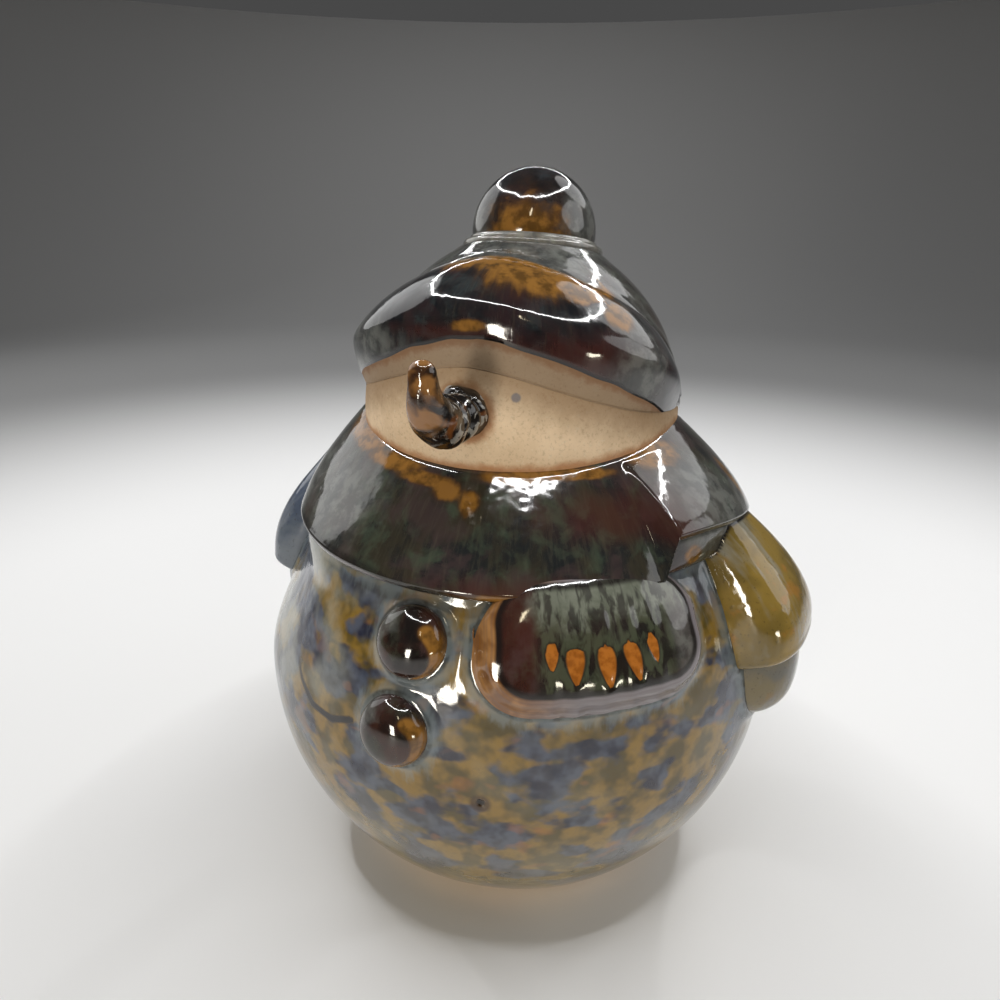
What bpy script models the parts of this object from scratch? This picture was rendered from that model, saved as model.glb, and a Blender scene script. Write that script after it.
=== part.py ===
"""Glazed stoneware snowman: a hollow round body with a wrapped scarf, a bobble hat and a carrot nose.

Metres, +Z up, resting plane at Z = 0, front towards -Y, and the figure's own left towards +X.
An azimuth turns round the upright axis from the front, positive towards the figure's left.
An elevation climbs from the belly's equator. An outline is a list of (radius, height) points.
"""

import math

import bmesh
import bpy
from mathutils import Vector

MM = 0.001

# Body
belly_radius = 52.0 * MM
belly_flat_depth = 10.3 * MM
belly_centre = belly_radius - belly_flat_depth
belly_wall = 4.5 * MM
neck_depth = 9.7 * MM
neck_height = belly_centre + belly_radius - neck_depth
foot_height = 4.0 * MM
foot_inner_radius = 24.0 * MM
base_recess = 1.2 * MM
base_thickness = 4.0 * MM
vent_radius = 3.5 * MM

# Luted pieces stand this far off what they sit on
joint_gap = 0.3 * MM
# Raw forms reach this deep into their seat before the seat is cut out of them
seat_depth = 2.5 * MM

# Head, an ellipsoid of two unlike halves, turned a little to the figure's left
head_radius = 30.4 * MM
head_above_neck = 8.0 * MM
head_centre = neck_height + head_above_neck
head_rise = 32.5 * MM
head_drop = 20.0 * MM
head_wall = 4.0 * MM
head_turn = math.radians(4.0)

# Hat: the crown closes the head above a seam that slopes down to the back
seam_above_centre = 3.5 * MM
seam_slope = math.radians(22.0)
hat_tilt = math.radians(10.0)

# Hat brim, a padded crescent from ear to ear over the forehead
brim_thickness = 3.9 * MM
brim_ear_thickness = 0.5 * MM
brim_thin_start = math.radians(60.0)
brim_end = math.radians(97.0)
brim_corner_rise = 5.0 * MM
brim_top_rise = 29.5 * MM
brim_lower_rise = 13.4 * MM
brim_lower_drop = 10.0 * MM
brim_top_fullness = 2.0
brim_lower_fullness = 1.6
brim_top_swell = 0.8
brim_lower_swell = 1.1
brim_swell_limit = 0.45

# Bobble and the two rolls of clay round its root
bobble_radius = 11.6 * MM
bobble_height = 32.8 * MM
collar_roll_radius = 1.0 * MM
collar_roll_pitch = 1.1 * MM
collar_step = 0.4 * MM
collar_inner_angles = (100, 60, 20)
collar_outer_angles = (80, 40, 0, -40)

# Nose, a carrot that curls up, with ringed folds at its root
nose_above_centre = 7.0 * MM
nose_reach = 14.0 * MM
nose_curl = 8.6 * MM
nose_root_radius = 4.6 * MM
nose_tip_radius = 2.1 * MM
nose_taper = 1.6
nose_droop = 1.2 * MM
nose_bend = 2.2
nose_ring_count = 3
nose_ring_depth = 0.45 * MM
nose_ring_share = 0.42
nose_tip_angles = (35, 65, 82)

# Scarf wrap round the neck
scarf_above_neck = 5.6 * MM
scarf_top = neck_height + scarf_above_neck
scarf_top_rise = 4.6 * MM
scarf_back_rise = 1.8 * MM
scarf_low_azimuth = math.radians(9.0)
scarf_level_start = math.radians(70.0)
scarf_level_end = math.radians(112.0)
scarf_top_lip = 1.3 * MM
scarf_below_neck = 11.6 * MM
scarf_lower = neck_height - scarf_below_neck
scarf_stand = 2.33 * MM
scarf_swell = 1.1 * MM
scarf_swell_azimuth = math.radians(60.0)
scarf_lip_radius = 2.2 * MM
scarf_lip_angles = (40, 85)
# Share of the wrap's fullness that the arms press flat at the figure's sides
scarf_press = 0.45
scarf_press_start = math.radians(56.0)
scarf_press_full = math.radians(88.0)

# Where the wrap is lifted on the figure's left, its tail shows below it
lift_start = math.radians(53.2)
lift_full = math.radians(56.6)
lift_end = math.radians(122.0)
lift_height = 7.6 * MM
tail_end = math.radians(104.0)
tail_rise = 1.0 * MM
tail_lower = scarf_lower + tail_rise
tail_tuck = 1.6 * MM
tail_setback = 1.2 * MM
tail_end_share = 0.35
tail_squareness = 3.2

# Fringed scarf end, hung on the belly below the wrap
scarf_end_azimuth = math.radians(37.8)
scarf_end_elevation = math.radians(28.9)
scarf_end_width = 37.8 * MM
scarf_end_height = 22.8 * MM
scarf_end_thickness = 4.6 * MM
scarf_end_upper_corner = 13.0 * MM
scarf_end_lower_corner = 9.0 * MM
scarf_end_edge_share = 0.25
scarf_end_edge_power = 6
scarf_end_squareness = 3.0
fringe_count = 6
fringe_depth = 1.2 * MM
fringe_top = 3.5 * MM
fringe_fade = 7.0 * MM
fringe_hem = 3.6 * MM
fringe_hem_fade = 1.6 * MM

# Buttons, each hung on the belly by its distance below the wrap's lower edge
button_radius = 6.0 * MM
button_rise = 4.4 * MM
button_azimuths = (math.radians(1.8), math.radians(0.4))
button_drops = (8.33 * MM, 23.03 * MM)

# Arms, each a sleeve that leans out down to a rolled cuff, and a mitten below it. The right one lies closer
# to the belly and reaches lower
left_arm_azimuth = math.radians(84.0)
right_arm_azimuth = math.radians(-82.0)
right_arm_inset = 4.0 * MM
right_arm_drop = 2.0 * MM
shoulder_above_neck = 2.0 * MM
shoulder_height = neck_height + shoulder_above_neck
shoulder_stand = 10.77 * MM
cuff_rise = 18.5 * MM
cuff_height = belly_centre + cuff_rise
cuff_stand = 10.2 * MM
cuff_tilt = math.radians(24.0)
sleeve_bow = 1.25
sleeve_half_width = 11.6 * MM
sleeve_widening = 0.6
sleeve_squareness = 2.8
sleeve_lip = 2.2 * MM
sleeve_lip_angles = (30, 60, 90)
mitten_rise = 9.9 * MM
mitten_centre_height = belly_centre + mitten_rise
mitten_sink = 3.65 * MM
mitten_depth = 10.8 * MM
mitten_half_width = 9.6 * MM
mitten_length = 10.9 * MM
mitten_squareness = 2.4

# Facets
turn_steps = 44
belly_arc_steps = 15
inner_arc_steps = 8
head_arc_steps = 12
neck_arc_steps = 3
wrap_stations = 48
brim_stations = 30
cutter_reach = 200.0 * MM

CLAY_COLOURS = {
    "belly_glaze": ((0.16, 0.17, 0.15, 1.0), 0.12),
    "dark_glaze": ((0.045, 0.035, 0.028, 1.0), 0.1),
    "sleeve_glaze": ((0.24, 0.15, 0.04, 1.0), 0.1),
    "nose_glaze": ((0.25, 0.12, 0.03, 1.0), 0.12),
    "bisque": ((0.42, 0.31, 0.2, 1.0), 0.85),
}


def clear_scene():
    """Removes whatever objects the scene holds."""
    for old in list(bpy.data.objects):
        bpy.data.objects.remove(old)


def collection(name):
    """A collection of that name, linked to the scene."""
    made = bpy.data.collections.new(name)
    bpy.context.scene.collection.children.link(made)
    return made


def clay(name):
    """The Principled material of one clay or glaze."""
    found = bpy.data.materials.get(name)
    if found:
        return found
    colour, roughness = CLAY_COLOURS[name]
    material = bpy.data.materials.new(name)
    material.use_nodes = True
    shader = material.node_tree.nodes["Principled BSDF"]
    shader.inputs["Base Color"].default_value = colour
    shader.inputs["Roughness"].default_value = roughness
    shader.inputs["Metallic"].default_value = 0.0
    material.diffuse_color = colour
    return material


def piece(name, mesh, group, parent, material=None):
    """An object for a mesh, shaded smooth with its real edges sharp."""
    mesh.shade_smooth()
    mesh.set_sharp_from_angle(angle=math.radians(40))
    made = bpy.data.objects.new(name, mesh)
    group.objects.link(made)
    made.parent = parent
    if material:
        mesh.materials.append(clay(material))
    else:
        made.hide_render = True
        made.display_type = "WIRE"
    return made


def empty(name, group, parent=None):
    """A pivot that other objects hang from."""
    made = bpy.data.objects.new(name, None)
    group.objects.link(made)
    made.parent = parent
    return made


def turned(name, outline, group, parent, material=None, closed=True):
    """A solid of revolution. The outline runs down the outer side, then back inside or to the axis."""
    mesh = bpy.data.meshes.new(name)
    count = len(outline)
    edges = [(i, i + 1) for i in range(count - 1)]
    if closed:
        edges.append((count - 1, 0))
    mesh.from_pydata([(radius, 0.0, height) for radius, height in outline], edges, [])
    made = piece(name, mesh, group, parent, material)
    screw = made.modifiers.new("turn", "SCREW")
    screw.axis = "Z"
    screw.steps = turn_steps
    screw.render_steps = turn_steps
    screw.use_smooth_shade = True
    screw.use_merge_vertices = True
    screw.merge_threshold = 0.00001
    return made


def lofted(name, sections, group, parent, material=None, ring=False):
    """A skin over a run of sections with equal counts of points, closed at its ends or into a ring."""
    mesh = bpy.data.meshes.new(name)
    shape = bmesh.new()
    loops = [[shape.verts.new(point) for point in section] for section in sections]
    following = loops[1:] + loops[:1] if ring else loops[1:]
    for loop, after in zip(loops, following):
        for i, j in zip(range(len(loop)), list(range(1, len(loop))) + [0]):
            shape.faces.new((loop[i], loop[j], after[j], after[i]))
    if not ring:
        shape.faces.new(loops[0])
        shape.faces.new(loops[-1])
    bmesh.ops.recalc_face_normals(shape, faces=shape.faces)
    shape.to_mesh(mesh)
    shape.free()
    return piece(name, mesh, group, parent, material)


def ball(name, radii, group, parent, material=None, segments=24, rings=14, squareness=2.0):
    """An ellipsoid about its own origin, fuller towards its corners above a squareness of 2."""
    mesh = bpy.data.meshes.new(name)
    shape = bmesh.new()
    bmesh.ops.create_uvsphere(shape, u_segments=segments, v_segments=rings, radius=1.0)
    for vertex in shape.verts:
        vertex.co /= sum(abs(value) ** squareness for value in vertex.co) ** (1.0 / squareness)
    bmesh.ops.scale(shape, vec=Vector(radii), verts=shape.verts)
    shape.to_mesh(mesh)
    shape.free()
    return piece(name, mesh, group, parent, material)


def block(name, low, high, group, parent):
    """A box-shaped cutter between two corners."""
    mesh = bpy.data.meshes.new(name)
    shape = bmesh.new()
    bmesh.ops.create_cube(shape, size=1.0)
    low, high = Vector(low), Vector(high)
    bmesh.ops.scale(shape, vec=high - low, verts=shape.verts)
    bmesh.ops.translate(shape, vec=(low + high) / 2, verts=shape.verts)
    shape.to_mesh(mesh)
    shape.free()
    return piece(name, mesh, group, parent)


def cut(target, *tools, operation="DIFFERENCE"):
    """Takes each tool out of the target, or keeps only what they share."""
    for tool in tools:
        modifier = target.modifiers.new(tool.name, "BOOLEAN")
        modifier.operation = operation
        modifier.solver = "EXACT"
        modifier.object = tool


def on_ellipse(radius, rise, centre, angle):
    """The point (radius, height) of an upright ellipse at an angle from its top."""
    return radius * math.sin(angle), centre + rise * math.cos(angle)


def arc(radius, rise, centre, start, end, steps):
    """Points on an upright ellipse between two angles from its top."""
    return [on_ellipse(radius, rise, centre, start + (end - start) * i / steps) for i in range(steps + 1)]


def angle_at(rise, centre, height):
    """The angle from the top of an upright ellipse at which it has that height."""
    return math.acos((height - centre) / rise)


def belly_radius_at(height, grow=0.0):
    """The belly's radius at a height."""
    return math.sqrt(max((belly_radius + grow) ** 2 - (height - belly_centre) ** 2, 0.0))


def head_radius_at(height, grow=0.0):
    """The head's radius at a height."""
    rise = (head_rise if height > head_centre else head_drop) + grow
    return (head_radius + grow) * math.sqrt(max(1.0 - ((height - head_centre) / rise) ** 2, 0.0))


def at_azimuth(radius, azimuth, height):
    """A point from its distance to the upright axis, azimuth and height."""
    return Vector((radius * math.sin(azimuth), -radius * math.cos(azimuth), height))


def on_belly(azimuth, elevation, above=0.0):
    """A point on the belly, or above it."""
    reach = belly_radius + above
    return at_azimuth(reach * math.cos(elevation), azimuth, belly_centre + reach * math.sin(elevation))


def smooth_step(value, start, end):
    """0 before start, 1 after end, and an even curve between."""
    share = min(max((value - start) / (end - start), 0.0), 1.0)
    return share * share * (3.0 - 2.0 * share)


def superellipse(angle, fullness):
    """A point of a unit superellipse."""
    c, s = math.cos(angle), math.sin(angle)
    return math.copysign(abs(c) ** (2 / fullness), c), math.copysign(abs(s) ** (2 / fullness), s)


def grown(outline, grow):
    """The outline of a section moved outwards by a distance, corners mitred."""
    count = len(outline)
    area = sum(
        outline[i][0] * outline[(i + 1) % count][1] - outline[(i + 1) % count][0] * outline[i][1]
        for i in range(count)
    )
    side = 1.0 if area > 0 else -1.0
    moved = []
    for i in range(count):
        before = Vector(outline[i]) - Vector(outline[i - 1])
        after = Vector(outline[(i + 1) % count]) - Vector(outline[i])
        first = Vector((before.y, -before.x)).normalized() * side
        second = Vector((after.y, -after.x)).normalized() * side
        middle = (first + second).normalized()
        reach = grow / max(middle.dot(first), 0.5)
        moved.append((outline[i][0] + middle.x * reach, outline[i][1] + middle.y * reach))
    return moved


def belly_outline():
    """The hollow belly from its neck rim to where it stands on the foot ring."""
    bottom = foot_height + joint_gap
    inner = belly_radius - belly_wall
    outside = arc(
        belly_radius,
        belly_radius,
        belly_centre,
        angle_at(belly_radius, belly_centre, neck_height),
        angle_at(belly_radius, belly_centre, bottom),
        belly_arc_steps,
    )
    inside = arc(
        inner,
        inner,
        belly_centre,
        angle_at(inner, belly_centre, bottom),
        angle_at(inner, belly_centre, neck_height),
        inner_arc_steps,
    )
    return outside + inside


def foot_outline():
    """The foot ring, whose outside carries the belly's curve down to the table."""
    outside = arc(
        belly_radius,
        belly_radius,
        belly_centre,
        angle_at(belly_radius, belly_centre, foot_height),
        angle_at(belly_radius, belly_centre, 0.0),
        2,
    )
    return outside + [(foot_inner_radius, 0.0), (foot_inner_radius, foot_height)]


def base_outline():
    """The recessed base with its vent hole."""
    edge = foot_inner_radius - joint_gap
    upper = base_recess + base_thickness
    return [(edge, upper), (edge, base_recess), (vent_radius, base_recess), (vent_radius, upper)]


def head_outline(grow=0.0, neck=True):
    """The head's outside from its top down, to the neck or on to its lowest point."""
    upper = arc(head_radius + grow, head_rise + grow, head_centre, 0.0, math.pi / 2, head_arc_steps)
    drop = head_drop + grow
    if neck:
        steps, last = neck_arc_steps, angle_at(drop, head_centre, neck_height + joint_gap)
    else:
        steps, last = head_arc_steps, math.pi
    return upper + arc(head_radius + grow, drop, head_centre, math.pi / 2, last, steps)[1:]


def head_shell_outline():
    """The hollow head, open at the neck."""
    outside = head_outline()
    inside = head_outline(-head_wall)
    return [(0.0, head_centre + head_rise)] + outside[1:] + inside[:0:-1] + [
        (0.0, head_centre + head_rise - head_wall)
    ]


def wrap_lift(azimuth):
    """How far the wrap's lower edge is lifted over the tail."""
    rising = smooth_step(azimuth, lift_start, lift_full)
    falling = 1.0 - smooth_step(azimuth, lift_full, lift_end)
    return lift_height * rising * falling


def wrap_top(azimuth):
    """Height of the wrap's upper edge: low in front, high at the ears, level round the back."""
    turn = abs(math.remainder(azimuth - scarf_low_azimuth, 2 * math.pi))
    rise = scarf_top_rise * (1.0 - math.cos(turn))
    level = smooth_step(turn, scarf_level_start, scarf_level_end)
    return scarf_top + rise + (scarf_back_rise - rise) * level


def wrap_outline(azimuth):
    """The wrap's section: a lip on the face, a slope that rounds over, a rolled lower edge."""
    top = wrap_top(azimuth)
    bottom = scarf_lower + wrap_lift(azimuth)
    top_radius = head_radius_at(top) + scarf_top_lip
    swell = scarf_swell * math.cos(azimuth - scarf_swell_azimuth)
    lower_radius = belly_radius_at(scarf_lower) + scarf_stand + swell
    shoulder = bottom + scarf_lip_radius
    sideways = abs(math.sin(azimuth))
    pressed = scarf_press * smooth_step(sideways, math.sin(scarf_press_start), math.sin(scarf_press_full))
    slope_top = top - scarf_top_lip / 2
    slope_steps = 6
    points = [(head_radius_at(top) - seat_depth, top - scarf_top_lip), (top_radius - scarf_top_lip, top)]
    for i in range(slope_steps + 1):
        share = i / slope_steps
        fullness = (1.0 - pressed) * math.sin(share * math.pi / 2) + pressed * share
        radius = top_radius + (lower_radius - top_radius) * fullness
        points.append((radius, slope_top + (shoulder - slope_top) * share))
    for angle in map(math.radians, scarf_lip_angles):
        radius = lower_radius - scarf_lip_radius * (1.0 - math.cos(angle))
        points.append((radius, shoulder - scarf_lip_radius * math.sin(angle)))
    points.append((belly_radius_at(bottom) - seat_depth, bottom + scarf_lip_radius / 2))
    points.append((belly_radius_at(neck_height) - seat_depth, neck_height))
    return points


def wrap_sections(grow=0.0):
    """Sections of the wrap all round, closer together where it is lifted."""
    even = [2 * math.pi * i / wrap_stations for i in range(wrap_stations)]
    close = [lift_start + (lift_full - lift_start) * i / 3 for i in range(4)]
    spacing = 0.4 * 2 * math.pi / wrap_stations
    azimuths = sorted(close + [a for a in even if all(abs(a - b) > spacing for b in close)])
    sections = []
    for azimuth in azimuths:
        outline = wrap_outline(azimuth if azimuth <= math.pi else azimuth - 2 * math.pi)
        outline = grown(outline, grow) if grow else outline
        sections.append([at_azimuth(radius, azimuth, height) for radius, height in outline])
    return sections


def tail_outline(azimuth):
    """The tail's section, a flat fold against the belly that thins out at both ends."""
    share = (azimuth - lift_start) / (tail_end - lift_start)
    fullness = math.sqrt(max(math.sin(math.pi * share), 0.0))
    outer = belly_radius_at(scarf_lower) + scarf_stand + scarf_swell - tail_setback
    root = belly_radius_at(tail_lower)
    thickness = (outer - root) * (tail_end_share + (1.0 - tail_end_share) * fullness)
    tail_upper = scarf_lower + max(wrap_lift(azimuth), tail_tuck) + tail_tuck
    middle = (tail_lower + tail_upper) / 2
    half = (tail_upper - tail_lower) / 2
    points = []
    for i in range(9):
        across, out = superellipse(math.pi * i / 8, tail_squareness)
        points.append((root + thickness * out, middle + half * across))
    points.append((belly_radius_at(tail_lower) - seat_depth, tail_lower))
    points.append((belly_radius_at(tail_upper) - seat_depth, tail_upper))
    return points


def tail_sections(grow=0.0):
    """Sections of the tail from end to end."""
    steps = 16
    sections = []
    for i in range(steps + 1):
        azimuth = lift_start + (tail_end - lift_start) * i / steps
        outline = tail_outline(azimuth)
        outline = grown(outline, grow) if grow else outline
        sections.append([at_azimuth(radius, azimuth, height) for radius, height in outline])
    return sections


def fringe_groove(across, along, bottom):
    """Depth of the grooves between the strands, which end above the hem and fade out upwards."""
    pitch = scarf_end_width / (fringe_count + 1)
    ridge = 0.5 + 0.5 * math.cos(2 * math.pi * across / pitch)
    inside = 1.0 - smooth_step(abs(across), scarf_end_width / 2 - pitch, scarf_end_width / 2 - pitch / 2)
    fade = 1.0 - smooth_step(along, fringe_top - fringe_fade, fringe_top)
    hem = smooth_step(along, bottom + fringe_hem - fringe_hem_fade, bottom + fringe_hem)
    return fringe_depth * (1.0 - ridge) * inside * fade * hem


def corner_trim(across, corner):
    """How far a rounded corner has drawn in an edge of the hung end at a distance from its middle."""
    beyond = max(abs(across) - (scarf_end_width / 2 - corner), 0.0)
    return corner - math.sqrt(max(corner**2 - beyond**2, 0.0))


def scarf_end_section(across):
    """Section of the hung end at a distance from its middle, laid on the belly's curve."""
    top = scarf_end_height / 2 - corner_trim(across, scarf_end_upper_corner)
    bottom = -scarf_end_height / 2 + corner_trim(across, scarf_end_lower_corner)
    top = max(top, bottom + scarf_end_thickness)
    edge = math.sqrt(max(1.0 - (2 * abs(across) / scarf_end_width) ** scarf_end_edge_power, 0.0))
    thickness = scarf_end_thickness * (scarf_end_edge_share + (1.0 - scarf_end_edge_share) * edge)
    azimuth = scarf_end_azimuth + across / (belly_radius * math.cos(scarf_end_elevation))
    steps = 12
    section = []
    for i in range(steps + 1):
        up, out = superellipse(math.pi * i / steps, scarf_end_squareness)
        along = (top + bottom) / 2 + (top - bottom) / 2 * up
        above = (thickness - min(fringe_groove(across, along, bottom), thickness / 2)) * out
        section.append(on_belly(azimuth, scarf_end_elevation + along / belly_radius, above))
    for end in (bottom, top):
        section.append(on_belly(azimuth, scarf_end_elevation + end / belly_radius, -seat_depth))
    return section


def scarf_end_sections():
    """Sections of the hung end from one side to the other, closer together at its sides."""
    steps = 6 * fringe_count + 2
    turns = [math.pi / 2 * (2.0 * i / steps - 1.0) for i in range(steps + 1)]
    return [scarf_end_section(scarf_end_width / 2 * math.sin(turn)) for turn in turns]


def brim_edges(azimuth):
    """Heights of the brim's lower and upper edge at an azimuth."""
    share = min(abs(azimuth) / brim_end, 1.0)
    side = math.sin(min(abs(azimuth), math.pi / 2)) ** brim_lower_fullness
    lower = head_centre + brim_lower_rise - brim_lower_drop * side
    rise = (1.0 - share**brim_top_fullness) ** (1.0 / brim_top_fullness)
    upper = head_centre + brim_corner_rise + (brim_top_rise - brim_corner_rise) * rise
    return lower, max(upper, lower + 2 * brim_thickness / 3)


def brim_sections():
    """Sections of the padded brim from one ear to the other."""
    sections = []
    for i in range(brim_stations + 1):
        azimuth = brim_end * math.sin(math.pi / 2 * (2.0 * i / brim_stations - 1.0))
        lower, upper = brim_edges(azimuth)
        start = angle_at(head_rise, head_centre, upper)
        end = angle_at(head_rise, head_centre, lower)
        width = (end - start) * head_radius
        thinned = smooth_step(abs(azimuth), brim_thin_start, brim_end)
        thickness = min(brim_thickness + (brim_ear_thickness - brim_thickness) * thinned, brim_swell_limit * width)
        outside, steps = [], 10
        for j in range(steps + 1):
            share = (1.0 - math.cos(math.pi * j / steps)) / 2
            angle = start + (end - start) * share
            bulge = thickness * math.sin(math.pi * j / steps) ** (brim_top_swell if 2 * j < steps else brim_lower_swell)
            outside.append(on_ellipse(head_radius + bulge, head_rise + bulge, head_centre, angle))
        inside = [
            on_ellipse(head_radius - seat_depth, head_rise - seat_depth, head_centre, angle)
            for angle in (end, (start + end) / 2, start)
        ]
        sections.append([at_azimuth(radius, azimuth, height) for radius, height in outside + inside])
    return sections


def collar_outline(grow=0.0):
    """Two rolls of clay in steps down the crown round the bobble's root."""
    inner_roll = bobble_radius - collar_roll_radius / 2
    roll = collar_roll_radius + grow
    points = []
    for centre, step, angles in (
        (inner_roll, collar_step, collar_inner_angles),
        (inner_roll + collar_roll_pitch, 0.0, collar_outer_angles),
    ):
        surface = head_rise * math.sqrt(1.0 - (centre / head_radius) ** 2) + step
        for turn in map(math.radians, angles):
            points.append((centre + roll * math.cos(turn), surface + roll * math.sin(turn)))
    root = head_rise - 3 * seat_depth - grow
    inner = bobble_radius - seat_depth - grow
    return points + [(points[-1][0], root), (inner, root), (inner, points[0][1])]


def nose_path():
    """Points and radii of the nose from inside the head to its tip, leaning out and curling up."""
    nose_height = head_centre + nose_above_centre
    start = head_radius_at(nose_height) - seat_depth
    steps = 26
    path = []
    for i in range(steps + 1):
        share = i / steps
        out = start + (nose_reach + seat_depth) * math.sin(share * math.pi / 2)
        up = nose_height + nose_curl * share**nose_bend - nose_droop * math.sin(math.pi * share)
        radius = nose_root_radius + (nose_tip_radius - nose_root_radius) * share**nose_taper
        if share < nose_ring_share:
            ring = abs(math.sin(math.pi * nose_ring_count * share / nose_ring_share))
            radius -= nose_ring_depth * (1.0 - ring)
        path.append((Vector((0.0, -out, up)), radius))
    return path


def nose_mesh():
    """The nose as a closed tube of changing radius with a rounded tip."""
    curve = bpy.data.curves.new("nose_path", "CURVE")
    curve.dimensions = "3D"
    curve.bevel_depth = 1.0
    curve.bevel_resolution = 4
    curve.use_fill_caps = True
    path = nose_path()
    tip, tip_radius = path[-1]
    heading = (tip - path[-2][0]).normalized()
    for turn in map(math.radians, nose_tip_angles):
        path.append((tip + heading * tip_radius * math.sin(turn), tip_radius * math.cos(turn)))
    line = curve.splines.new("POLY")
    line.points.add(len(path) - 1)
    for point, (place, radius) in zip(line.points, path):
        point.co = (*place, 1.0)
        point.radius = radius
    holder = bpy.data.objects.new("nose_path", curve)
    bpy.context.scene.collection.objects.link(holder)
    evaluated = holder.evaluated_get(bpy.context.evaluated_depsgraph_get())
    mesh = bpy.data.meshes.new_from_object(evaluated)
    shape = bmesh.new()
    shape.from_mesh(mesh)
    bmesh.ops.remove_doubles(shape, verts=shape.verts, dist=0.00001)
    bmesh.ops.recalc_face_normals(shape, faces=shape.faces)
    shape.to_mesh(mesh)
    shape.free()
    mesh.name = "carrot_nose"
    bpy.data.objects.remove(holder)
    return mesh


def arm_point(azimuth, out, across, height):
    """A point by an arm's azimuth: outwards from the upright axis, across the arm, and up."""
    tangent = Vector((math.cos(azimuth), math.sin(azimuth), 0.0))
    return at_azimuth(out, azimuth, height) + tangent * across


def sleeve_outer(share, inset, drop):
    """Reach, height and tilt of the sleeve's outer edge, at a share of its way to the cuff."""
    bow = math.sin(share * math.pi / 2) ** sleeve_bow
    shoulder_reach = belly_radius_at(shoulder_height) + shoulder_stand
    cuff_reach = belly_radius_at(cuff_height) + cuff_stand - inset
    reach = shoulder_reach + (cuff_reach - shoulder_reach) * bow
    return reach, shoulder_height + (cuff_height - drop - shoulder_height) * share, cuff_tilt * share


def sleeve_section(arm, share, turn=0.0):
    """Section of a sleeve square to its lean. A turn rolls it under, into the cuff's lip."""
    azimuth, inset, drop = arm
    reach, height, tilt = sleeve_outer(share, inset, drop)
    inner = belly_radius_at(height) - 2 * seat_depth
    tuck = sleeve_lip * (1.0 - math.cos(turn))
    down = sleeve_lip * math.sin(turn)
    half_depth = (reach - inner) / 2 - tuck
    half_width = sleeve_half_width * math.sin(share * math.pi / 2) ** sleeve_widening - tuck
    middle_out = (reach + inner) / 2 + down * math.sin(tilt)
    middle_height = height - (reach - inner) / 2 * math.tan(tilt) - down * math.cos(tilt)
    steps = 28
    section = []
    for i in range(steps):
        out, across = superellipse(2 * math.pi * i / steps, sleeve_squareness)
        out *= half_depth
        height = middle_height + out * math.tan(tilt)
        section.append(arm_point(azimuth, middle_out + out, half_width * across, height))
    return section


def sleeve_sections(arm):
    """Sections of a sleeve from the shoulder down to its cuff, which rolls in at the lip."""
    steps = 11
    sections = [sleeve_section(arm, i / steps) for i in range(1, steps + 1)]
    return sections + [sleeve_section(arm, 1.0, math.radians(turn)) for turn in sleeve_lip_angles]


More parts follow.
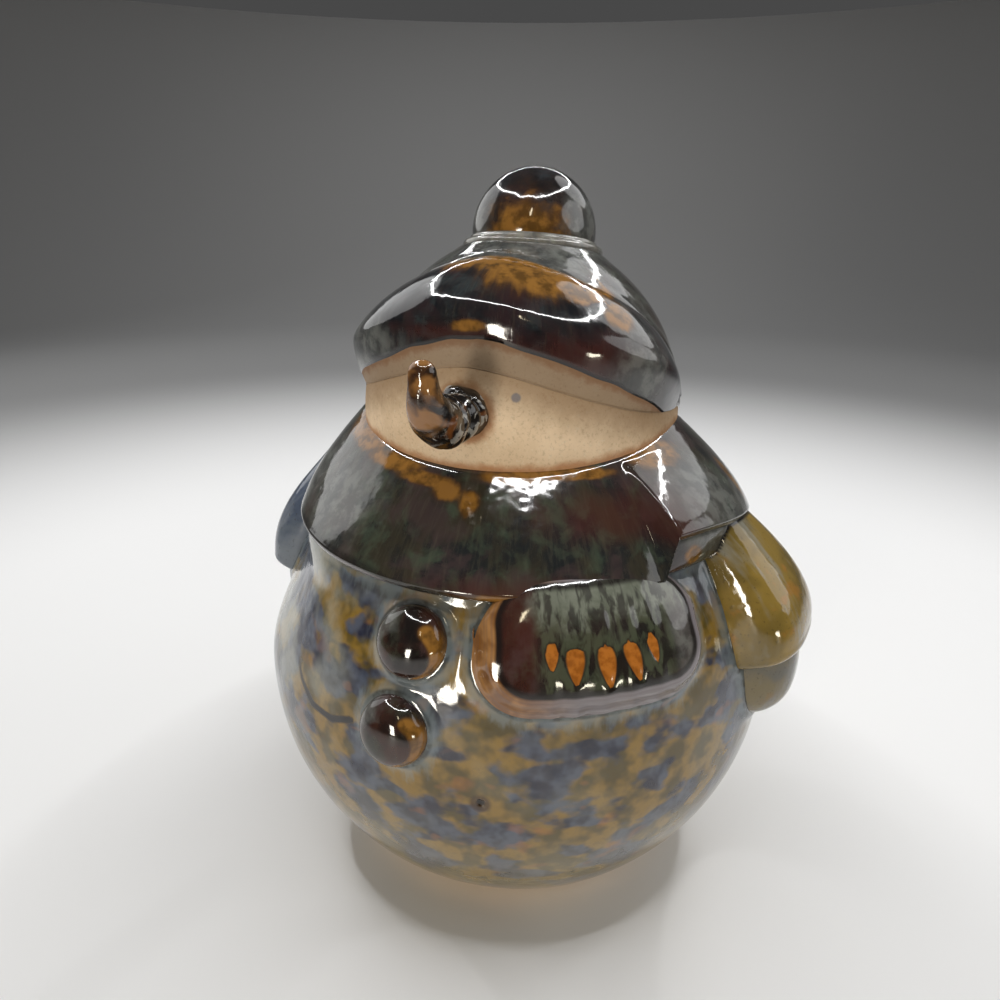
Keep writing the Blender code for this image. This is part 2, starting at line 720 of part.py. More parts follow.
def build():
    """Makes every piece of the figure and returns the empty that carries them."""
    clear_scene()
    figure = collection("snowman_figurine")
    tools = collection("cutters")

    root = empty("figure", figure)
    scarf_elevation = math.asin((scarf_lower - belly_centre) / belly_radius)
    button_elevations = [scarf_elevation - drop / belly_radius for drop in button_drops]
    front_reach = on_belly(button_azimuths[1], button_elevations[1], button_rise).y
    root.location.y = -(front_reach + belly_radius) / 2
    left_arm = (left_arm_azimuth, 0.0, 0.0)
    right_arm = (right_arm_azimuth, right_arm_inset, right_arm_drop)
    arm_reaches = [point.x for arm in (left_arm, right_arm) for section in sleeve_sections(arm) for point in section]
    root.location.x = -(min(arm_reaches) + max(arm_reaches)) / 2
    head = empty("head_axis", figure, root)
    head.rotation_euler.z = head_turn
    hat = empty("hat_axis", figure, head)
    hat.location.z = head_centre
    hat.rotation_euler.x = -hat_tilt

    whole = math.pi
    belly_seat = turned(
        "belly_seat",
        arc(belly_radius + joint_gap, belly_radius + joint_gap, belly_centre, 0.0, whole, 2 * belly_arc_steps),
        tools,
        root,
        closed=False,
    )
    head_seat = turned("head_seat", head_outline(joint_gap, neck=False), tools, head, closed=False)
    wrap_seat = lofted("wrap_seat", wrap_sections(joint_gap), tools, root, ring=True)
    tail_seat = lofted("tail_seat", tail_sections(joint_gap), tools, root)
    bobble_seat = ball("bobble_seat", (bobble_radius + joint_gap,) * 3, tools, hat)
    bobble_seat.location.z = bobble_height

    turned("belly_shell", belly_outline(), figure, root, "belly_glaze")
    turned("foot_ring", foot_outline(), figure, root, "bisque")
    turned("base_disc", base_outline(), figure, root, "bisque")

    seam = empty("seam_plane", tools, head)
    seam.location.z = head_centre + seam_above_centre
    seam.rotation_euler.x = -seam_slope
    reach = cutter_reach
    above_seam = block("above_seam", (-reach, -reach, 0.0), (reach, reach, reach), tools, seam)
    below_seam = block("below_seam", (-reach, -reach, -reach), (reach, reach, joint_gap), tools, seam)
    face = turned("face_shell", head_shell_outline(), figure, head, "bisque", closed=False)
    cut(face, above_seam)
    crown = turned("hat_crown", head_shell_outline(), figure, head, "dark_glaze", closed=False)
    cut(crown, below_seam)

    collar_seat = turned("collar_seat", collar_outline(joint_gap), tools, hat)
    brim = lofted("hat_brim", brim_sections(), figure, head, "dark_glaze")
    cut(brim, collar_seat, head_seat)
    bobble = ball("hat_bobble", (bobble_radius,) * 3, figure, hat, "dark_glaze")
    bobble.location.z = bobble_height
    cut(bobble, head_seat)
    collar = turned("bobble_collar", collar_outline(), figure, hat, "dark_glaze")
    cut(collar, head_seat, bobble_seat)

    nose = piece("carrot_nose", nose_mesh(), figure, head, "nose_glaze")
    cut(nose, head_seat)

    wrap = lofted("scarf_wrap", wrap_sections(), figure, root, "dark_glaze", ring=True)
    cut(wrap, head_seat, belly_seat)
    tail = lofted("scarf_tail", tail_sections(), figure, root, "dark_glaze")
    cut(tail, wrap_seat, belly_seat)
    end = lofted("scarf_end", scarf_end_sections(), figure, root, "dark_glaze")
    cut(end, tail_seat, wrap_seat, belly_seat)

    button_names = ("upper_button", "lower_button")
    for name, azimuth, elevation in zip(button_names, button_azimuths, button_elevations):
        button = ball(name, (button_radius, button_radius, button_rise), figure, root, "dark_glaze", 20, 12)
        button.location = on_belly(azimuth, elevation)
        outward = button.location - Vector((0.0, 0.0, belly_centre))
        button.rotation_euler = outward.to_track_quat("Z", "Y").to_euler()
        cut(button, belly_seat)

    for label, arm in (("left", left_arm), ("right", right_arm)):
        azimuth, inset, drop = arm
        sleeve = lofted(label + "_sleeve", sleeve_sections(arm), figure, root, "sleeve_glaze")
        cut(sleeve, wrap_seat, tail_seat, belly_seat)
        cuff = empty(label + "_cuff", tools, root)
        cuff_out, height, tilt = sleeve_outer(1.0, inset, drop)
        cuff.location = arm_point(azimuth, cuff_out, 0.0, height)
        cuff.rotation_euler = (0.0, -tilt, azimuth - math.pi / 2)
        low = (-reach, -reach, -sleeve_lip - joint_gap)
        above_cuff = block(label + "_above_cuff", low, (reach, reach, reach), tools, cuff)
        radii = (mitten_depth, mitten_half_width, mitten_length)
        mitten = ball(label + "_mitten", radii, figure, root, "sleeve_glaze", squareness=mitten_squareness)
        mitten_reach = belly_radius_at(mitten_centre_height) - mitten_sink - inset
        mitten.location = arm_point(azimuth, mitten_reach, 0.0, mitten_centre_height - drop)
        mitten.rotation_euler.z = azimuth - math.pi / 2
        cut(mitten, above_cuff, belly_seat)
    return root


build()
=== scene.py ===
"""The glazed stoneware snowman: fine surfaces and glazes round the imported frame, with floor, light and camera.

Lengths are millimetres from the belly's upright axis until a mesh is made. An azimuth turns round that axis
from the figure's front, positive towards its left. Head pieces are turned by HEAD_TURN as the frame's are.
"""
import math
from math import cos, sin

import bmesh
import bpy
import numpy as np
from mathutils import Matrix, Vector, noise
from mathutils.bvhtree import BVHTree


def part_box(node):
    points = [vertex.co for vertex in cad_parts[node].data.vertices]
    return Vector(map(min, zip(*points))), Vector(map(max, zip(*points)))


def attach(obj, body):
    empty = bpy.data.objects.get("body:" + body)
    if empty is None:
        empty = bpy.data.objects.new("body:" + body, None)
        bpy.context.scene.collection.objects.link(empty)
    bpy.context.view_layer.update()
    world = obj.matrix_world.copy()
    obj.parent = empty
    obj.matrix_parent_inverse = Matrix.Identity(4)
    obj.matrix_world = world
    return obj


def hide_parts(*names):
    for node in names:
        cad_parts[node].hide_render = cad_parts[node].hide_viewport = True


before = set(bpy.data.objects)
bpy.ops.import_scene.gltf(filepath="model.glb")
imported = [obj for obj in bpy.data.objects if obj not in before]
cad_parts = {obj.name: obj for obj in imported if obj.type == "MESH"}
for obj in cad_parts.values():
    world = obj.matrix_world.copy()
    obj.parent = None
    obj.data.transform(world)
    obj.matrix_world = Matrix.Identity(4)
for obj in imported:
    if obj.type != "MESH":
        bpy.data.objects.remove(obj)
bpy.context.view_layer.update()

MM = 0.001
belly_low, belly_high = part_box("belly_shell")
AXIS = np.array([(belly_low.x + belly_high.x) / 2, (belly_low.y + belly_high.y) / 2, 0.0])
PI = math.pi
rad = math.radians

# The CAD's radii, heights and walls that these surfaces follow
BELLY_R, BELLY_Z, BELLY_WALL, NECK_Z = 52.0, 41.7, 4.5, 84.0
FOOT_Z, FOOT_IN, GAP = 4.0, 24.0, 0.3
HEAD_R, HEAD_Z, HEAD_RISE, HEAD_DROP, HEAD_WALL = 30.4, 92.0, 32.5, 20.0, 4.0
HEAD_TURN, SEAM_Z, SEAM_SLOPE, HAT_TILT = rad(4), 95.5, rad(22), rad(10)
# How far the hidden back of a piece reaches into what it sits on
SINK = 1.2
# In metres, how near points of a skin merge and how short an edge is dissolved
SAME_PLACE, NO_LENGTH = 2e-6, 1e-7


# ---- shapes ----

def full_turn(count):
    return np.linspace(0, 2 * PI, count, endpoint=False)


def ease(value, start, end):
    """A smooth share of the way from a start to an end."""
    share = np.clip((value - start) / (end - start), 0.0, 1.0)
    return share * share * (3.0 - 2.0 * share)


def belly_radius(height):
    return np.sqrt(np.maximum(BELLY_R**2 - (height - BELLY_Z) ** 2, 0.0))


def head_radius(height):
    rise = np.where(height > HEAD_Z, HEAD_RISE, HEAD_DROP)
    return HEAD_R * np.sqrt(np.maximum(1.0 - ((height - HEAD_Z) / rise) ** 2, 0.0))


def at_azimuth(radius, azimuth, height):
    x, y, z = np.broadcast_arrays(radius * np.sin(azimuth), -radius * np.cos(azimuth), height)
    return np.stack([x, y, z], -1).astype(float)


def on_belly(azimuth, elevation, above=0.0):
    reach = BELLY_R + above
    return at_azimuth(reach * np.cos(elevation), azimuth, BELLY_Z + reach * np.sin(elevation))


def superellipse(angle, fullness):
    c, s = np.cos(angle), np.sin(angle)
    return np.copysign(np.abs(c) ** (2 / fullness), c), np.copysign(np.abs(s) ** (2 / fullness), s)


def turn_z(points, angle):
    c, s = cos(angle), sin(angle)
    return points @ np.array([[c, s, 0.0], [-s, c, 0.0], [0.0, 0.0, 1.0]])


def hat_place(points):
    """Points about the hat's tilted axis, put in their place on the head."""
    c, s = cos(-HAT_TILT), sin(-HAT_TILT)
    tilted = points @ np.array([[1.0, 0.0, 0.0], [0.0, c, s], [0.0, -s, c]])
    return turn_z(tilted + np.array([0.0, 0.0, HEAD_Z]), HEAD_TURN)


def swept(azimuths, outline_at):
    """Sections of outlines of radii and heights, each stood up at its azimuth."""
    outlines = [outline_at(azimuth).T for azimuth in azimuths]
    return np.array([at_azimuth(radius, azimuth, height) for azimuth, (radius, height) in zip(azimuths, outlines)])


def polar(points):
    """Azimuth in degrees, height and radius of points."""
    return np.degrees(np.arctan2(points[:, 0], -points[:, 1])), points[:, 2], np.hypot(points[:, 0], points[:, 1])


def linked(name, data):
    made = bpy.data.objects.new(name, data)
    bpy.context.scene.collection.objects.link(made)
    return made


def skin(name, grid, ring=False):
    """A closed smooth skin over sections of points, each a loop, either a ring of them or with closed ends.

    It replaces the node of its name.
    """
    rows, columns = grid.shape[:2]
    index = np.arange(rows * columns).reshape(rows, columns)
    after = np.roll(index, -1, 0)
    quads = np.stack([index, np.roll(index, -1, 1), np.roll(after, -1, 1), after], -1)
    faces = (quads if ring else quads[:-1]).reshape(-1, 4).tolist()
    if not ring:
        faces += [index[0].tolist(), index[-1][::-1].tolist()]
    mesh = bpy.data.meshes.new(name + "_skin")
    mesh.from_pydata((grid.reshape(-1, 3) * MM + AXIS).tolist(), [], faces)
    shape = bmesh.new()
    shape.from_mesh(mesh)
    bmesh.ops.remove_doubles(shape, verts=shape.verts, dist=SAME_PLACE)
    bmesh.ops.dissolve_degenerate(shape, edges=shape.edges, dist=NO_LENGTH)
    bmesh.ops.recalc_face_normals(shape, faces=shape.faces)
    shape.to_mesh(mesh)
    shape.free()
    mesh.shade_smooth()
    made = linked(name + "_skin", mesh)
    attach(made, "root")
    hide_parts(name)
    return made


def places(piece):
    """The vertices of a piece in millimetres from the belly's axis."""
    found = np.empty(len(piece.data.vertices) * 3)
    piece.data.vertices.foreach_get("co", found)
    return (found.reshape(-1, 3) - AXIS) / MM


def normals(piece):
    found = np.empty(len(piece.data.vertices) * 3, np.float32)
    piece.data.vertex_normals.foreach_get("vector", found)
    return found.reshape(-1, 3).astype(float)


def move_to(piece, points):
    piece.data.vertices.foreach_set("co", (points * MM + AXIS).ravel())
    piece.data.update()


def shift_out(piece, distance):
    """Moves each vertex along its normal by a distance in millimetres."""
    move_to(piece, places(piece) + normals(piece) * distance[:, None])


def waves(points, size, seed):
    """Even noise between about -1 and 1 at each point."""
    offset = Vector((seed * 7.3, seed * -3.1, seed * 5.7))
    return np.array([noise.noise(Vector(p) / size + offset) for p in points])


def hand_made(piece, seed, inwards, size, fine):
    """Lets a skin sink and swell a little, as clay pressed by hand does."""
    points = places(piece)
    broad, narrow = waves(points, size, seed), waves(points, size / 4, seed + 9)
    shift_out(piece, -inwards * (0.5 + 0.5 * broad) - fine * (0.5 + 0.5 * narrow))


def put(piece, name, values):
    """Keeps a number for each vertex, or one for all of them, for the materials to read."""
    attribute = piece.data.attributes.new(name, "FLOAT", "POINT")
    attribute.data.foreach_set("value", np.broadcast_to(values, len(piece.data.vertices)).astype(np.float32))


def distance_to(points, others, reach):
    """Distance from each point to the nearest skin of the other pieces, up to a reach."""
    corners, polygons, start = [], [], 0
    for other in others:
        own = places(other)
        corners += own.tolist()
        polygons += [[i + start for i in face.vertices] for face in other.data.polygons]
        start += len(own)
    tree = BVHTree.FromPolygons(corners, polygons)
    found = np.full(len(points), reach)
    for i, point in enumerate(points):
        distance = tree.find_nearest(Vector(point), reach)[3]
        if distance is not None:
            found[i] = distance
    return found


def height_angle(rise, centre, height):
    return math.acos(max(-1.0, min(1.0, (height - centre) / rise)))


def turned(name, outline, steps, place=None):
    """A skin turned round an upright axis from a closed outline of radii and heights."""
    azimuth = full_turn(steps)[:, None]
    grid = at_azimuth(outline[None, :, 0], azimuth, outline[None, :, 1])
    return skin(name, place(grid) if place else grid, ring=True)


# Belly and foot
def belly_arc(radius, start, end, count):
    """The belly's section between two heights."""
    start, end = height_angle(radius, BELLY_Z, start), height_angle(radius, BELLY_Z, end)
    angle = start + (end - start) * np.linspace(0, 1, count)
    return np.stack([radius * np.sin(angle), BELLY_Z + radius * np.cos(angle)], -1)


belly_outline = np.concatenate([belly_arc(BELLY_R, NECK_Z, FOOT_Z + GAP, 170),
                                belly_arc(BELLY_R - BELLY_WALL, FOOT_Z + GAP, NECK_Z, 30)])
belly = turned("belly_shell", belly_outline, 420)

foot_out = float(belly_radius(0.0))
foot_outline = np.concatenate([
    belly_arc(BELLY_R, FOOT_Z, 0.9, 10),
    [(foot_out + 0.2, 0.35), (foot_out - 0.1, 0.1), (foot_out - 0.5, 0.0), (foot_out - 3, 0.0), (FOOT_IN + 3, 0.0)],
    [(FOOT_IN + 0.6, 0.0), (FOOT_IN + 0.2, 0.15), (FOOT_IN, 0.6), (FOOT_IN, 2.0), (FOOT_IN, FOOT_Z)],
])
foot = turned("foot_ring", foot_outline, 240)


# Head: one egg that the seam divides into face and crown
def seam_angle(azimuth, grow):
    """Angle from the head's top at which its side meets the seam, before the head's turn."""
    angle = PI / 2
    for _ in range(30):
        height = SEAM_Z + (HEAD_R + grow) * sin(angle) * np.cos(azimuth) * math.tan(SEAM_SLOPE)
        rise = (HEAD_RISE if height > HEAD_Z else HEAD_DROP) + grow
        angle = height_angle(rise, HEAD_Z, height)
    return angle


def head_points(angle, grow=0.0):
    """Radii and heights on the head at angles from its top."""
    rise = np.where(np.cos(angle) > 0, HEAD_RISE, HEAD_DROP) + grow
    return np.stack([(HEAD_R + grow) * np.sin(angle), HEAD_Z + rise * np.cos(angle)], -1)


def head_arc(start, end, count, grow=0.0):
    return head_points(start + (end - start) * np.linspace(0, 1, count), grow)


def head_outline(azimuth, upper):
    arcs = []
    for grow, count in ((0.0, 120), (-HEAD_WALL, 24)):
        seam, foot = seam_angle(azimuth, grow), height_angle(HEAD_DROP + grow, HEAD_Z, NECK_Z + GAP)
        ends = (0.0, seam) if upper else (seam, foot)
        arcs.append(head_arc(*(ends[::-1] if grow else ends), count, grow))
    return np.concatenate(arcs)


face_sections = swept(full_turn(360), lambda azimuth: head_outline(azimuth, False))
face = skin("face_shell", turn_z(face_sections, HEAD_TURN), ring=True)
crown_sections = swept(full_turn(360), lambda azimuth: head_outline(azimuth, True))
crown = skin("hat_crown", turn_z(crown_sections, HEAD_TURN), ring=True)


# Hat brim, which slopes out like a visor and rolls over low down
BRIM_THICK, BRIM_EAR, BRIM_END = 4.3, 0.5, rad(97)
BRIM_LOWER, BRIM_DROP, BRIM_UPPER, BRIM_RISE = 105.4, 10.0, 97.0, 24.5
BRIM_ROUNDING = 7.0


def brim_outline(azimuth, steps=64):
    share = min(abs(azimuth) / BRIM_END, 1.0)
    side = sin(min(abs(azimuth), PI / 2)) ** 1.6
    lower = BRIM_LOWER - BRIM_DROP * side
    upper = BRIM_UPPER + BRIM_RISE * math.sqrt(max(1.0 - share**2, 0.0))
    upper = max(upper, lower + 2 * BRIM_THICK / 3)
    start, end = height_angle(HEAD_RISE, HEAD_Z, upper), height_angle(HEAD_RISE, HEAD_Z, lower)
    width = (end - start) * HEAD_R
    thinned = ease(abs(azimuth), rad(60), BRIM_END)
    thickness = min(BRIM_THICK + (BRIM_EAR - BRIM_THICK) * thinned, 0.45 * width)
    turn = PI * np.arange(steps + 1) / steps
    down = (1.0 - np.cos(turn)) / 2
    angle = start + (end - start) * down
    rising, falling = (down / 0.61) ** 0.85, (1.0 - down) / 0.34
    bulge = -thickness * np.log(np.exp(-BRIM_ROUNDING * rising) + np.exp(-BRIM_ROUNDING * falling)) / BRIM_ROUNDING
    bulge[[0, -1]] = 0.0
    return np.concatenate([head_points(angle, bulge), head_arc(end, start, 9, -SINK)])


brim_azimuths = BRIM_END * np.sin(PI / 2 * np.linspace(-1, 1, 171))
brim = skin("hat_brim", turn_z(swept(brim_azimuths, brim_outline), HEAD_TURN))

# Bobble and the rolls round its root
BOBBLE_R, BOBBLE_Z = 11.6, 32.8
sides = np.linspace(0, PI, 90)
bobble_outline = np.stack([BOBBLE_R * np.sin(sides), BOBBLE_Z + BOBBLE_R * np.cos(sides)], -1)
bobble = turned("hat_bobble", bobble_outline, 160, hat_place)


def collar_outline():
    points = []
    inner_roll = BOBBLE_R - 0.5
    for centre, step, first, last in ((inner_roll, 0.4, 100, 20), (inner_roll + 1.1, 0.0, 80, -40)):
        surface = HEAD_RISE * math.sqrt(1.0 - (centre / HEAD_R) ** 2) + step
        for turn in np.radians(np.linspace(first, last, 12)):
            points.append((centre + cos(turn), surface + sin(turn)))
    root = HEAD_RISE - 5.5
    return np.array(points + [(points[-1][0], root), (BOBBLE_R - 2.5, root), (BOBBLE_R - 2.5, points[0][1])])


collar = turned("bobble_collar", collar_outline(), 200, hat_place)


# Nose, a cone curled up in the upright plane through the face's front, with folds round its root
NOSE_Z, NOSE_REACH, NOSE_CURL, NOSE_DROOP = 99.0, 14.0, 8.6, 1.2
NOSE_ROOT, NOSE_TIP, FOLDS, FOLD_SHARE, FOLD_DEPTH = 4.6, 2.1, 3, 0.42, 0.62


def nose_sections(steps=150, around=72):
    start = float(head_radius(NOSE_Z)) - SINK
    share = np.linspace(0, 1, steps)
    out = start + (NOSE_REACH + SINK) * np.sin(share * PI / 2)
    up = NOSE_Z + NOSE_CURL * share**2.2 - NOSE_DROOP * np.sin(PI * share)
    ring = np.abs(np.sin(PI * FOLDS * share / FOLD_SHARE))
    folds = np.where(share < FOLD_SHARE, FOLD_DEPTH * (1.0 - ring**0.7), 0.0)
    path = np.stack([0 * out, -out, up], -1)
    ahead = path[-1] - path[-2]
    ahead /= np.linalg.norm(ahead)
    tip = np.radians([12, 24, 36, 48, 60, 70, 79, 86])
    path = np.concatenate([path, path[-1] + np.outer(NOSE_TIP * np.sin(tip), ahead)])
    radii = np.concatenate([NOSE_ROOT + (NOSE_TIP - NOSE_ROOT) * share**1.6 - folds, NOSE_TIP * np.cos(tip)])
    heading = np.gradient(path, axis=0)
    heading /= np.linalg.norm(heading, axis=1)[:, None]
    across = np.array([1.0, 0.0, 0.0])
    angle = full_turn(around)
    sections = []
    for i, (centre, ahead, radius) in enumerate(zip(path, heading, radii)):
        uneven = radius * (1.0 + 0.035 * np.sin(2 * angle + i * 0.09) + 0.02 * np.sin(5 * angle - i * 0.2))
        above = np.cross(across, ahead)
        sections.append(centre + np.outer(uneven * np.cos(angle), across) + np.outer(uneven * np.sin(angle), above))
    return turn_z(np.array(sections), HEAD_TURN)


nose = skin("carrot_nose", nose_sections())


# Scarf wrap. Its lower edge lifts over the tail between azimuths
SCARF_TOP, SCARF_LOW, LOW_R = 89.6, 72.4, 44.3
LIFT_START, LIFT_FULL, LIFT_END, LIFT = rad(53.2), rad(56.6), rad(122.0), 7.6


def wrap_lift(azimuth):
    return LIFT * ease(azimuth, LIFT_START, LIFT_FULL) * (1.0 - ease(azimuth, LIFT_FULL, LIFT_END))


def wrap_top(azimuth):
    turn = abs(math.remainder(azimuth - rad(9), 2 * PI))
    rise = 4.6 * (1.0 - cos(turn))
    return SCARF_TOP + rise + (1.8 - rise) * ease(turn, rad(70), rad(112))


def wrap_outline(azimuth, slope_steps=46):
    top, bottom = wrap_top(azimuth), SCARF_LOW + wrap_lift(azimuth)
    lip_out, lip_up, hem = 3.4, 2.5, 2.2
    top_radius = float(head_radius(top)) + 1.5
    lower_radius = LOW_R + 1.1 * cos(azimuth - rad(60))
    shoulder = bottom + hem
    straight = 0.85 - 0.35 * ease(abs(sin(azimuth)), sin(rad(40)), sin(rad(75)))
    points = []
    for turn in np.radians(np.linspace(120, 34, 12)):
        points.append((top_radius - lip_out + lip_out * cos(turn), top - lip_up + lip_up * sin(turn)))
    slope_radius, slope_top = points.pop()
    for share in np.linspace(0, 1, slope_steps + 1):
        fullness = (1.0 - straight) * sin(share * PI / 2) + straight * share
        points.append((slope_radius + (lower_radius - slope_radius) * fullness,
                       slope_top + (shoulder - slope_top) * share))
    for turn in np.radians(np.linspace(10, 100, 14)):
        points.append((lower_radius - hem * (1.0 - cos(turn)), shoulder - hem * sin(turn)))
    points.append((float(belly_radius(bottom)) - SINK, bottom + hem * 0.15))
    for share in np.linspace(0.25, 1, 6):
        height = bottom + (NECK_Z - bottom) * share
        points.append((float(belly_radius(height)) - SINK, height))
    points.append((float(head_radius(top - 3.0)) - SINK, top - 3.0))
    return np.array(points)


def wrap_azimuths(stations=340):
    """Even azimuths with closer ones where the lower edge lifts."""
    close = np.linspace(LIFT_START, LIFT_FULL, 14)
    spacing = 0.3 * 2 * PI / stations
    return np.sort(np.concatenate([close, [a for a in full_turn(stations) if np.abs(close - a).min() > spacing]]))


wrap_grid = swept(wrap_azimuths(), lambda azimuth: wrap_outline(azimuth if azimuth <= PI else azimuth - 2 * PI))
wrap = skin("scarf_wrap", wrap_grid, ring=True)

# Scarf tail, under the lifted edge
TAIL_END, TAIL_TUCK, TAIL_LOW = rad(104), 1.6, 73.4


def tail_outline(azimuth, count=56):
    share = (azimuth - LIFT_START) / (TAIL_END - LIFT_START)
    fullness = math.sqrt(max(sin(PI * share), 0.0))
    root = float(belly_radius(TAIL_LOW))
    thickness = (LOW_R - 0.1 - root) * (0.35 + 0.65 * fullness)
    upper = SCARF_LOW + max(float(wrap_lift(azimuth)), TAIL_TUCK) + TAIL_TUCK
    across, out = superellipse(np.linspace(0, PI, count), 3.2)
    height = (TAIL_LOW + upper) / 2 + (upper - TAIL_LOW) / 2 * across
    inner = np.linspace(TAIL_LOW, upper, 8)
    radius = np.concatenate([root + thickness * out, belly_radius(inner) - SINK])
    return np.stack([radius, np.concatenate([height, inner])], -1)


tail = skin("scarf_tail", swept(np.linspace(LIFT_START, TAIL_END, 111), tail_outline))

# Fringed end of the scarf
END_AZ, END_EL, END_W, END_H, END_T = rad(37.8), rad(28.9), 37.8, 22.8, 4.6
# Middle, height, length and half width of each parting, and how far its foot leans
STRANDS = ((-7.4, -1.8, 4.1, 0.95, 0.0), (-4.2, -3.1, 5.9, 1.35, 0.0), (0.2, -3.7, 6.6, 1.35, 0.5),
           (4.0, -3.5, 6.4, 1.25, 1.3), (7.3, -2.2, 4.6, 0.8, 0.6))
END_TOP_CORNER, END_LOW_CORNER = 13.0, 9.0


def corner_trim(across, corner):
    """How far a rounded corner draws in the hung end's edge."""
    beyond = np.maximum(np.abs(across) - (END_W / 2 - corner), 0.0)
    return corner - np.sqrt(np.maximum(corner**2 - beyond**2, 0.0))


def drop_shape(across, along):
    """Where the strands part: 1 in the middle of a drop-shaped parting, falling to 0 at its edge and below."""
    best = np.full(np.broadcast(across, along).shape, -1.0)
    for middle, height, length, half, foot in STRANDS:
        share = (height + length / 2 - along) / length
        width = half * np.clip(np.sin(PI * np.clip(share, 0, 1) ** 0.62), 0, 1) ** 0.8 + 0.05
        lean = middle + foot * (share - 0.3)
        inside = 1.0 - np.abs(across - lean) / width
        ends = 1.0 - np.abs(share - 0.5) * 2
        best = np.maximum(best, np.minimum(inside, ends * 2.2))
    return best


def end_places(piece):
    """Distances across and along the hung end from its middle."""
    points = places(piece)
    azimuth = np.arctan2(points[:, 0], -points[:, 1])
    elevation = np.arctan2(points[:, 2] - BELLY_Z, np.hypot(points[:, 0], points[:, 1]))
    return (azimuth - END_AZ) * BELLY_R * cos(END_EL), (elevation - END_EL) * BELLY_R


def end_sections(stations=150, steps=96):
    sections = []
    for turn in np.linspace(-PI / 2, PI / 2, stations + 1):
        across = END_W / 2 * sin(turn)
        top = END_H / 2 - float(corner_trim(across, END_TOP_CORNER))
        bottom = -END_H / 2 + float(corner_trim(across, END_LOW_CORNER))
        top = max(top, bottom + END_T)
        edge = math.sqrt(max(1.0 - (2 * abs(across) / END_W) ** 6, 0.0))
        thickness = END_T * (0.25 + 0.75 * edge)
        azimuth = END_AZ + across / (BELLY_R * cos(END_EL))
        up, out = superellipse(np.linspace(0, PI, steps + 1), 3.0)
        along = (top + bottom) / 2 + (top - bottom) / 2 * up
        inner = np.linspace(bottom, top, 10)
        above = np.concatenate([thickness * out, np.full(10, -SINK)])
        sections.append(on_belly(azimuth, END_EL + np.concatenate([along, inner]) / BELLY_R, above))
    return np.array(sections)


hung_end = skin("scarf_end", end_sections())


# Buttons
BUTTON_R, BUTTON_RISE = 6.0, 4.4


def button(name, azimuth, elevation, around=110, rows=44):
    """A flattened dome whose foot flares out on the belly."""
    turn = np.linspace(0, 1, rows) * PI / 2
    radius = np.concatenate([[0.0], BUTTON_R * np.sin(turn[1:]) ** 0.92, [BUTTON_R, 4.0, 0.0]])
    height = np.concatenate([[BUTTON_RISE], BUTTON_RISE * np.cos(turn[1:]) ** 0.85, [-2.0, -2.5, -2.5]])
    angle = full_turn(around)[:, None]
    grid = np.stack(np.broadcast_arrays(radius * np.cos(angle), radius * np.sin(angle), height), -1)
    centre = on_belly(np.array(azimuth), np.array(elevation))
    outward = Vector(centre - np.array([0, 0, BELLY_Z]))
    turned_to = np.array(outward.to_track_quat("Z", "Y").to_matrix())
    return skin(name, grid @ turned_to.T + centre, ring=True)


scarf_elevation = math.asin((SCARF_LOW - BELLY_Z) / BELLY_R)
upper_button = button("upper_button", rad(1.8), scarf_elevation - 8.33 / BELLY_R)
lower_button = button("lower_button", rad(0.4), scarf_elevation - 23.03 / BELLY_R)

# Sleeves and mittens. An arm is its azimuth, and how far it lies closer to the belly and lower than the left one
LEFT_ARM, RIGHT_ARM = (rad(84), 0.0, 0.0), (rad(-82), 4.0, 2.0)
SHOULDER_Z, SHOULDER_OUT, CUFF_Z, CUFF_OUT, CUFF_TILT, CUFF_LIP = 86.0, 38.0, 60.2, 58.8, rad(24), 2.2
SLEEVE_HALF_WIDTH = 11.6
MITTEN_OUT, MITTEN_Z, MITTEN_HALVES, MITTEN_FULLNESS = 47.4, 51.6, np.array([10.8, 9.6, 10.9]), 2.4


def sleeve_section(arm, share, turn=0.0, steps=88):
    azimuth, inset, drop = arm
    reach = SHOULDER_OUT + (CUFF_OUT - inset - SHOULDER_OUT) * sin(share * PI / 2) ** 1.25
    height, tilt = SHOULDER_Z + (CUFF_Z - drop - SHOULDER_Z) * share, CUFF_TILT * share
    inner = float(belly_radius(height)) - 5.0
    tuck, down = CUFF_LIP * (1.0 - cos(turn)), CUFF_LIP * sin(turn)
    half_depth = (reach - inner) / 2 - tuck
    half_width = SLEEVE_HALF_WIDTH * sin(share * PI / 2) ** 0.6 - tuck
    middle_out = (reach + inner) / 2 + down * sin(tilt)
    middle_height = height - (reach - inner) / 2 * math.tan(tilt) - down * cos(tilt)
    out, across = superellipse(full_turn(steps), 2.8)
    out = out * half_depth
    tangent = np.array([cos(azimuth), sin(azimuth), 0.0])
    middle = at_azimuth(middle_out + out, azimuth, middle_height + out * math.tan(tilt))
    return middle + np.outer(half_width * across, tangent)


def sleeve(name, arm):
    sections = [sleeve_section(arm, share) for share in np.linspace(0.03, 1.0, 64)]
    sections += [sleeve_section(arm, 1.0, turn) for turn in np.radians(np.linspace(8, 90, 14))]
    rim, centre = sections[-1], sections[-1].mean(0)
    sections += [centre + (rim - centre) * shrink for shrink in (0.7, 0.35, 0.05)]
    return skin(name, np.array(sections))


